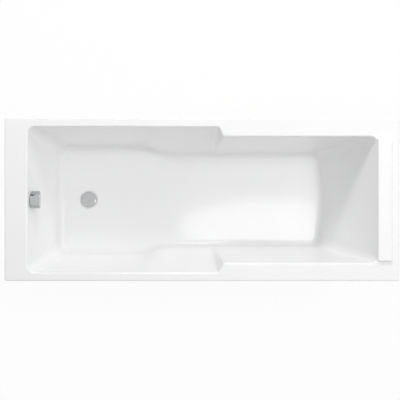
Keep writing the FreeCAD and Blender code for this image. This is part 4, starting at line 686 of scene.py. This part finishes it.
# The waste in the floor: a steel flange with a spider, clamped through the floor between two rubber
# rings to the moulded body below, and a domed cap on a brass stem that the lever in the body lifts.
PLUG_RADIUS, PLUG_INSIDE, PLUG_CROWN, PLUG_ROUND = 35.0, 31.5, 1.5, 2.0
PLUG_LOW_Z, PLUG_HOLLOW_Z, PLUG_EDGE_Z = 151.6, 153.8, 156.8
PLUG_EASE, PLUG_RIM_EASE, CROWN_MARGIN = 0.3, 0.4, 0.2


def chrome_plate():
    """Chrome: bright, with the faint turning marks of the polished metal under it."""
    finish, start, where = new_finish("chrome_plate")
    greys = (0.45, 0.455, 0.46, 1), (0.51, 0.515, 0.52, 1)
    film = start.noise(where, scale=45.0, detail=3.0)
    marks = start.noise(where, scale=900.0, detail=1.0)
    start.surface({"Base Color": start.mix(film, *greys), "Metallic": 1.0, "Roughness": 0.06 + 0.07 * film,
                   "Normal": start.bump(marks, strength=0.03, distance=0.0002)})
    return finish


def polished_metal(name, colours):
    """Turned and polished metal: fine marks, with a film that dulls it in patches."""
    finish, start, where = new_finish(name)
    film = start.noise(where, scale=60.0, detail=3.0)
    marks = start.noise(start.stretched(where, (120.0, 120.0, 1400.0)), scale=1.0, detail=2.0)
    start.surface({"Base Color": start.mix(film, *colours), "Metallic": 1.0,
                   "Roughness": 0.14 + 0.10 * film + 0.08 * marks,
                   "Normal": start.bump(marks, strength=0.08, distance=0.0002)})
    return finish


def soft_rubber():
    """Black sealing rubber: dull, with a dusty bloom and a fine moulded grain."""
    finish, start, where = new_finish("soft_rubber")
    blacks = (0.018, 0.018, 0.018, 1), (0.055, 0.055, 0.054, 1)
    bloom = start.noise(where, scale=35.0, detail=4.0)
    grain = start.noise(where, scale=900.0, detail=1.0)
    start.surface({"Base Color": start.mix(bloom, *blacks), "Roughness": 0.6 + 0.25 * bloom,
                   "Normal": start.bump(grain, strength=0.15, distance=0.0003)})
    return finish


def plug_outline():
    """Profile of the plug: its hollow underside, then up the side, round the edge and over the crown,
    a shallow arc of a ball whose radius follows from the crown's height and width."""
    under = [(0, PLUG_HOLLOW_Z), (PLUG_INSIDE - PLUG_EASE, PLUG_HOLLOW_Z),
             (PLUG_INSIDE, PLUG_HOLLOW_Z - PLUG_EASE), (PLUG_INSIDE, PLUG_LOW_Z + PLUG_EASE),
             (PLUG_INSIDE + PLUG_EASE, PLUG_LOW_Z), (PLUG_RADIUS - PLUG_RIM_EASE, PLUG_LOW_Z)]
    ball = (PLUG_RADIUS ** 2 + PLUG_CROWN ** 2) / (2 * PLUG_CROWN)
    out = np.linspace(PLUG_RADIUS - CROWN_MARGIN, 0, 24)[1:]
    arc = np.c_[out, PLUG_EDGE_Z + PLUG_CROWN - ball + np.sqrt(ball * ball - out * out)]
    side = rounded([(PLUG_RADIUS, PLUG_LOW_Z + PLUG_RIM_EASE), (PLUG_RADIUS, PLUG_EDGE_Z, PLUG_ROUND),
                    tuple(arc[2])], steps=8)
    return np.vstack([under, side[:-1], arc[2:]])


chrome, rubber = (chrome_plate(), "chrome"), (soft_rubber(), "black_rubber")
steels = (0.55, 0.55, 0.56, 1), (0.70, 0.70, 0.71, 1)
steel = polished_metal("polished_steel", steels), "polished_steel"
brasses = (0.52, 0.36, 0.13, 1), (0.72, 0.54, 0.24, 1)
brass = polished_metal("turned_brass", brasses), "brass"
off_whites = (0.74, 0.74, 0.72, 1), (0.82, 0.82, 0.80, 1)
white_plastic = moulded("white_moulding", off_whites, rough=0.3), "white_plastic"
plug = finished("plug_cap", grid_mesh("plug_cap", turned(plug_outline(), upright(WASTE_X, 0))))
dressed(plug, *chrome, "waste_plug")
for node, look in (("waste_flange", steel), ("lever_pin", steel), ("plug_stem", brass),
                   ("waste_top_seal", rubber), ("plug_seal", rubber), ("waste_body_seal", rubber),
                   ("waste_body", white_plastic), ("lift_lever", white_plastic),
                   ("waste_cable_gland", white_plastic)):
    dressed(joined_copy(node), *look, node)


# The overflow: a moulded elbow behind the foot-end wall, drawn up by a rosette from inside the bath.
# The chromed knob on its spindle turns a drum that pulls the cable, and the hose drains to the waste.
KNOB_RADIUS, KNOB_BORE, KNOB_ROUND, KNOB_EASE = 38.0, 35.0, 1.5, 0.6
KNOB_LOW, KNOB_HOLLOW, KNOB_FRONT, KNOB_SLANT = 6.5, 36.0, 40.0, math.tan(math.radians(15.0))
HUB_RADIUS, HUB_LOW, SKIRT_EASE_OUT, SKIRT_EASE_UP, FACE_MARGIN = 8.0, 16.0, 0.4, 0.5, 0.3
SLOT_DEPTH, SLOT_BEARINGS = 16.0, np.radians(149.0 + 120.0 * np.arange(3))
SLOT_SIDES, SLOT_MIDDLE = np.radians([-4.9, -4.75, 4.75, 4.9]), math.radians(4.8)


def knob_points(columns=120):
    """Knob: a turned cap whose rows near its face lean by the slant times the place down the wall.
    Its skirt ends at a height that depends on the angle, which makes its slots."""
    sides = (SLOT_BEARINGS[:, None] + SLOT_SIDES).ravel() % (2 * math.pi)
    angle = np.sort(np.r_[np.arange(columns) * math.pi / (columns / 2), sides])
    away = np.abs((angle[:, None] - SLOT_BEARINGS + math.pi) % (2 * math.pi) - math.pi).min(1)
    lift = np.where(away < SLOT_MIDDLE, SLOT_DEPTH - KNOB_RADIUS * KNOB_SLANT * np.cos(angle), 0.0)
    hub = [(0, HUB_LOW), (HUB_RADIUS, HUB_LOW)]
    hollow = [(HUB_RADIUS, KNOB_HOLLOW), (KNOB_BORE - KNOB_EASE, KNOB_HOLLOW),
              (KNOB_BORE, KNOB_HOLLOW - KNOB_EASE)]
    skirt = [(KNOB_BORE, KNOB_LOW + SKIRT_EASE_UP), (KNOB_BORE + SKIRT_EASE_OUT, KNOB_LOW),
             (KNOB_RADIUS - SKIRT_EASE_OUT, KNOB_LOW), (KNOB_RADIUS, KNOB_LOW + SKIRT_EASE_UP)]
    guard = KNOB_ROUND + FACE_MARGIN
    face = rounded([skirt[-1], (KNOB_RADIUS, KNOB_FRONT - guard), (KNOB_RADIUS, KNOB_FRONT, KNOB_ROUND),
                    (KNOB_RADIUS - guard, KNOB_FRONT), (0, KNOB_FRONT)], steps=8)[1:]
    counts = [len(rows) for rows in (hub, hollow, skirt, face)]
    leaning, slotted = np.repeat([0, 1, 0, 1], counts)[:, None], np.repeat([0, 0, 1, 0], counts)[:, None]
    radius, height = np.hsplit(np.vstack([hub, hollow, skirt, face]), 2)
    down = radius * np.cos(angle)
    height = height + slotted * lift - leaning * KNOB_SLANT * down
    return placed(np.stack([down, radius * np.sin(angle), height], -1), OVERFLOW)


knob = finished("knob_cap", grid_mesh("knob_cap", knob_points()))
dressed(knob, *chrome, "overflow_knob")
hose_greys = (0.60, 0.61, 0.62, 1), (0.70, 0.71, 0.72, 1)
hose_plastic = moulded("hose_plastic", hose_greys, rough=0.34), "hose_plastic"
sheath_blacks = (0.05, 0.05, 0.052, 1), (0.09, 0.09, 0.092, 1)
cable_sheath = moulded("cable_sheath", sheath_blacks, rough=0.4), "cable_sheath"
for node, look in (("overflow_rosette", white_plastic), ("overflow_seal", rubber),
                   ("overflow_elbow", white_plastic), ("knob_spindle", brass),
                   ("cable_drum", white_plastic), ("overflow_hose", hose_plastic),
                   ("overflow_cable_gland", white_plastic), ("bowden_cable", cable_sheath)):
    dressed(joined_copy(node), *look, node)


# The trap under the waste: a moulded chamber hung from the body by a ribbed nut, with a screwed cup
# below for cleaning. Flat rubber rings seal both joints.
for node, look in (("union_washer", rubber), ("union_nut", white_plastic), ("trap_body", white_plastic),
                   ("trap_cup_seal", rubber), ("trap_cup", white_plastic)):
    dressed(joined_copy(node), *look, node)


# The headrest: one block of skinned white foam, moulded in a tool, crowned along and across. Two pegs
# moulded into it push into rubber grommets in the head-end rim.
HEADREST_HALF_X, HEADREST_HALF_Y, HEADREST_SIDE, HEADREST_GAP = 30.5, 265.0, 12.0, 0.3
HEADREST_CORNER, HEADREST_SHOULDER, HEADREST_CROWN = 6.0, 4.0, 2.0
HEADREST_FOOT_EASE, HEADREST_FOOT_MIDDLE = 1.2, 0.35
TOP_SHARES = np.array([0.2, 0.3, 0.42, 0.56, 0.7, 0.85, 1.0])


def headrest_points():
    """Crowned pad: box outlines climb its sides and shoulder, then close in on a spine under the crown,
    which falls off with the fourth powers of the places along and across."""
    half_x, half_y, side = HEADREST_HALF_X, HEADREST_HALF_Y, HEADREST_SIDE
    bend = np.linspace(0, math.pi / 2, 8)
    shoulder = HEADREST_SHOULDER * np.c_[1 - np.cos(bend), np.sin(bend) - 1] + (0, side)
    top = np.c_[half_x * TOP_SHARES, np.full(len(TOP_SHARES), side)]
    foot = [(half_x, 0.0), (HEADREST_FOOT_EASE, 0.0), (HEADREST_FOOT_MIDDLE, HEADREST_FOOT_MIDDLE),
            (0.0, HEADREST_FOOT_EASE)]
    rows = []
    for inset, height in np.vstack([foot, shoulder, top]):
        corner = HEADREST_CORNER * (1 - inset / half_x)
        outline = box_outline(half_x - inset, half_y - inset, corner, columns=12, across=8, along=48)
        swell = (1 - (outline[:, 0] / half_x) ** 4) * (1 - (outline[:, 1] / half_y) ** 4)
        crown = HEADREST_CROWN * swell if height == side else 0 * swell
        rows.append(np.c_[outline, height + crown])
    return np.stack(rows) + (HEADREST_X, 0.0, RIM_Z + HEADREST_GAP)


def skinned_foam():
    """White foam with a closed skin: soft sheen, tiny pores and a slight cloudiness."""
    finish, start, where = new_finish("skinned_foam")
    whites = (0.915, 0.915, 0.913, 1), (0.945, 0.945, 0.943, 1)
    cloud = start.noise(where, scale=12.0, detail=3.0)
    pores = start.noise(where, scale=650.0, detail=2.0)
    start.surface({"Base Color": start.mix(cloud, *whites), "Roughness": 0.38 + 0.12 * cloud,
                   "Normal": start.bump(pores, strength=0.12, distance=0.0003)})
    return finish


headrest = finished("headrest_cushion", grid_mesh("headrest_cushion", headrest_points()))
dressed(headrest, skinned_foam(), "headrest_foam", "headrest_pad")
dressed(joined_copy("headrest_pegs"), *white_plastic, "headrest_pegs")
dressed(joined_copy("peg_grommets"), *rubber, "peg_grommets")


# The room of the picture: a plain white floor in white surroundings, soft lamps at the wall side and
# over the head end, a long faint one that shines in the bath's floor, and a camera straight above.
# Sizes and places here are in metres, and the lens in millimetres.
FLOOR_REACH, FLOOR_LEVEL, PLAIN_SHARE, DOME_STRENGTH = 9.0, -0.0004, 0.94, 0.49
CAMERA_PLACE, CAMERA_LENS, CAMERA_SENSOR = (-0.0082, -0.0015, 5.07), 94.1, 36.0


def shows(start):
    """One where a ray comes straight from the camera, from a mirror or through glass, else nought."""
    kinds = ("Camera", "Glossy", "Transmission")
    return start.largest(*[start.node("LightPath", {}, {}, "Is %s Ray" % kind) for kind in kinds])


def white_floor():
    """Matt white floor, plain white to the camera with a faint shadow, and clear from below."""
    finish, start = new_finish("white_floor")[:2]
    matt = start.node("BsdfDiffuse", {}, {"Color": (0.9, 0.9, 0.9, 1)})
    plain = start.node("Emission", {}, {"Color": (1, 1, 1, 1), "Strength": 1.0})
    top = start.node("MixShader", {}, {0: shows(start) * PLAIN_SHARE, 1: matt, 2: plain})
    under = start.node("NewGeometry", {}, {}, "Backfacing")
    clear = start.node("BsdfTransparent", {}, {})
    start.node("OutputMaterial", {}, {"Surface": start.node("MixShader", {}, {0: under, 1: top, 2: clear})})
    return finish


floor_corners = [(x * FLOOR_REACH, y * FLOOR_REACH, FLOOR_LEVEL)
                 for x, y in ((-1, -1), (1, -1), (1, 1), (-1, 1))]
floor_mesh = bpy.data.meshes.new("studio_floor")
floor_mesh.from_pydata(floor_corners, [], [(0, 1, 2, 3)])
floor_mesh.materials.append(white_floor())
studio_floor = bpy.data.objects.new("studio_floor", floor_mesh)
bpy.context.scene.collection.objects.link(studio_floor)

world = bpy.data.worlds.new("studio")
bpy.context.scene.world = world
world.use_nodes = True
world.node_tree.nodes.clear()
sky = Shade(world.node_tree)
dome = sky.node("Background", {}, {"Color": (1, 1, 1, 1), "Strength": DOME_STRENGTH})
blank = sky.node("Background", {}, {"Color": (1, 1, 1, 1), "Strength": 1.0})
sky.node("OutputWorld", {}, {"Surface": sky.node("MixShader", {}, {0: shows(sky), 1: dome, 2: blank})})


def softbox(name, size, watts, place, aim, shape="RECTANGLE"):
    """A flat soft lamp at a place, facing a point."""
    lamp = bpy.data.lights.new(name, "AREA")
    lamp.shape, lamp.size, lamp.size_y, lamp.energy = shape, size[0], size[1], watts
    holder = bpy.data.objects.new(name, lamp)
    holder.location = place
    holder.rotation_euler = (Vector(aim) - Vector(place)).to_track_quat("-Z", "Y").to_euler()
    holder.visible_camera = False
    bpy.context.scene.collection.objects.link(holder)
    return holder


softbox("key", size=(1.0, 0.8), watts=62.0, place=(-0.2, 3.5, 2.95), aim=(0.0, 0.0, 0.45))
softbox("floor_gloss", size=(1.5, 0.42), watts=5.6, place=(0.52, -0.20, 3.2), aim=(0.52, -0.20, 0.15),
        shape="ELLIPSE")
head_light = softbox("head_light", size=(1.1, 1.1), watts=116.0, place=(3.3, 1.2, 5.8), aim=(0.0, 0.0, 0.4))
head_light.visible_glossy = False

camera = bpy.data.cameras.new("camera")
camera.lens, camera.sensor_width = CAMERA_LENS, CAMERA_SENSOR
viewer = bpy.data.objects.new("camera", camera)
viewer.location = CAMERA_PLACE
bpy.context.scene.collection.objects.link(viewer)
bpy.context.scene.camera = viewer
bpy.context.scene.view_settings.view_transform = "Standard"
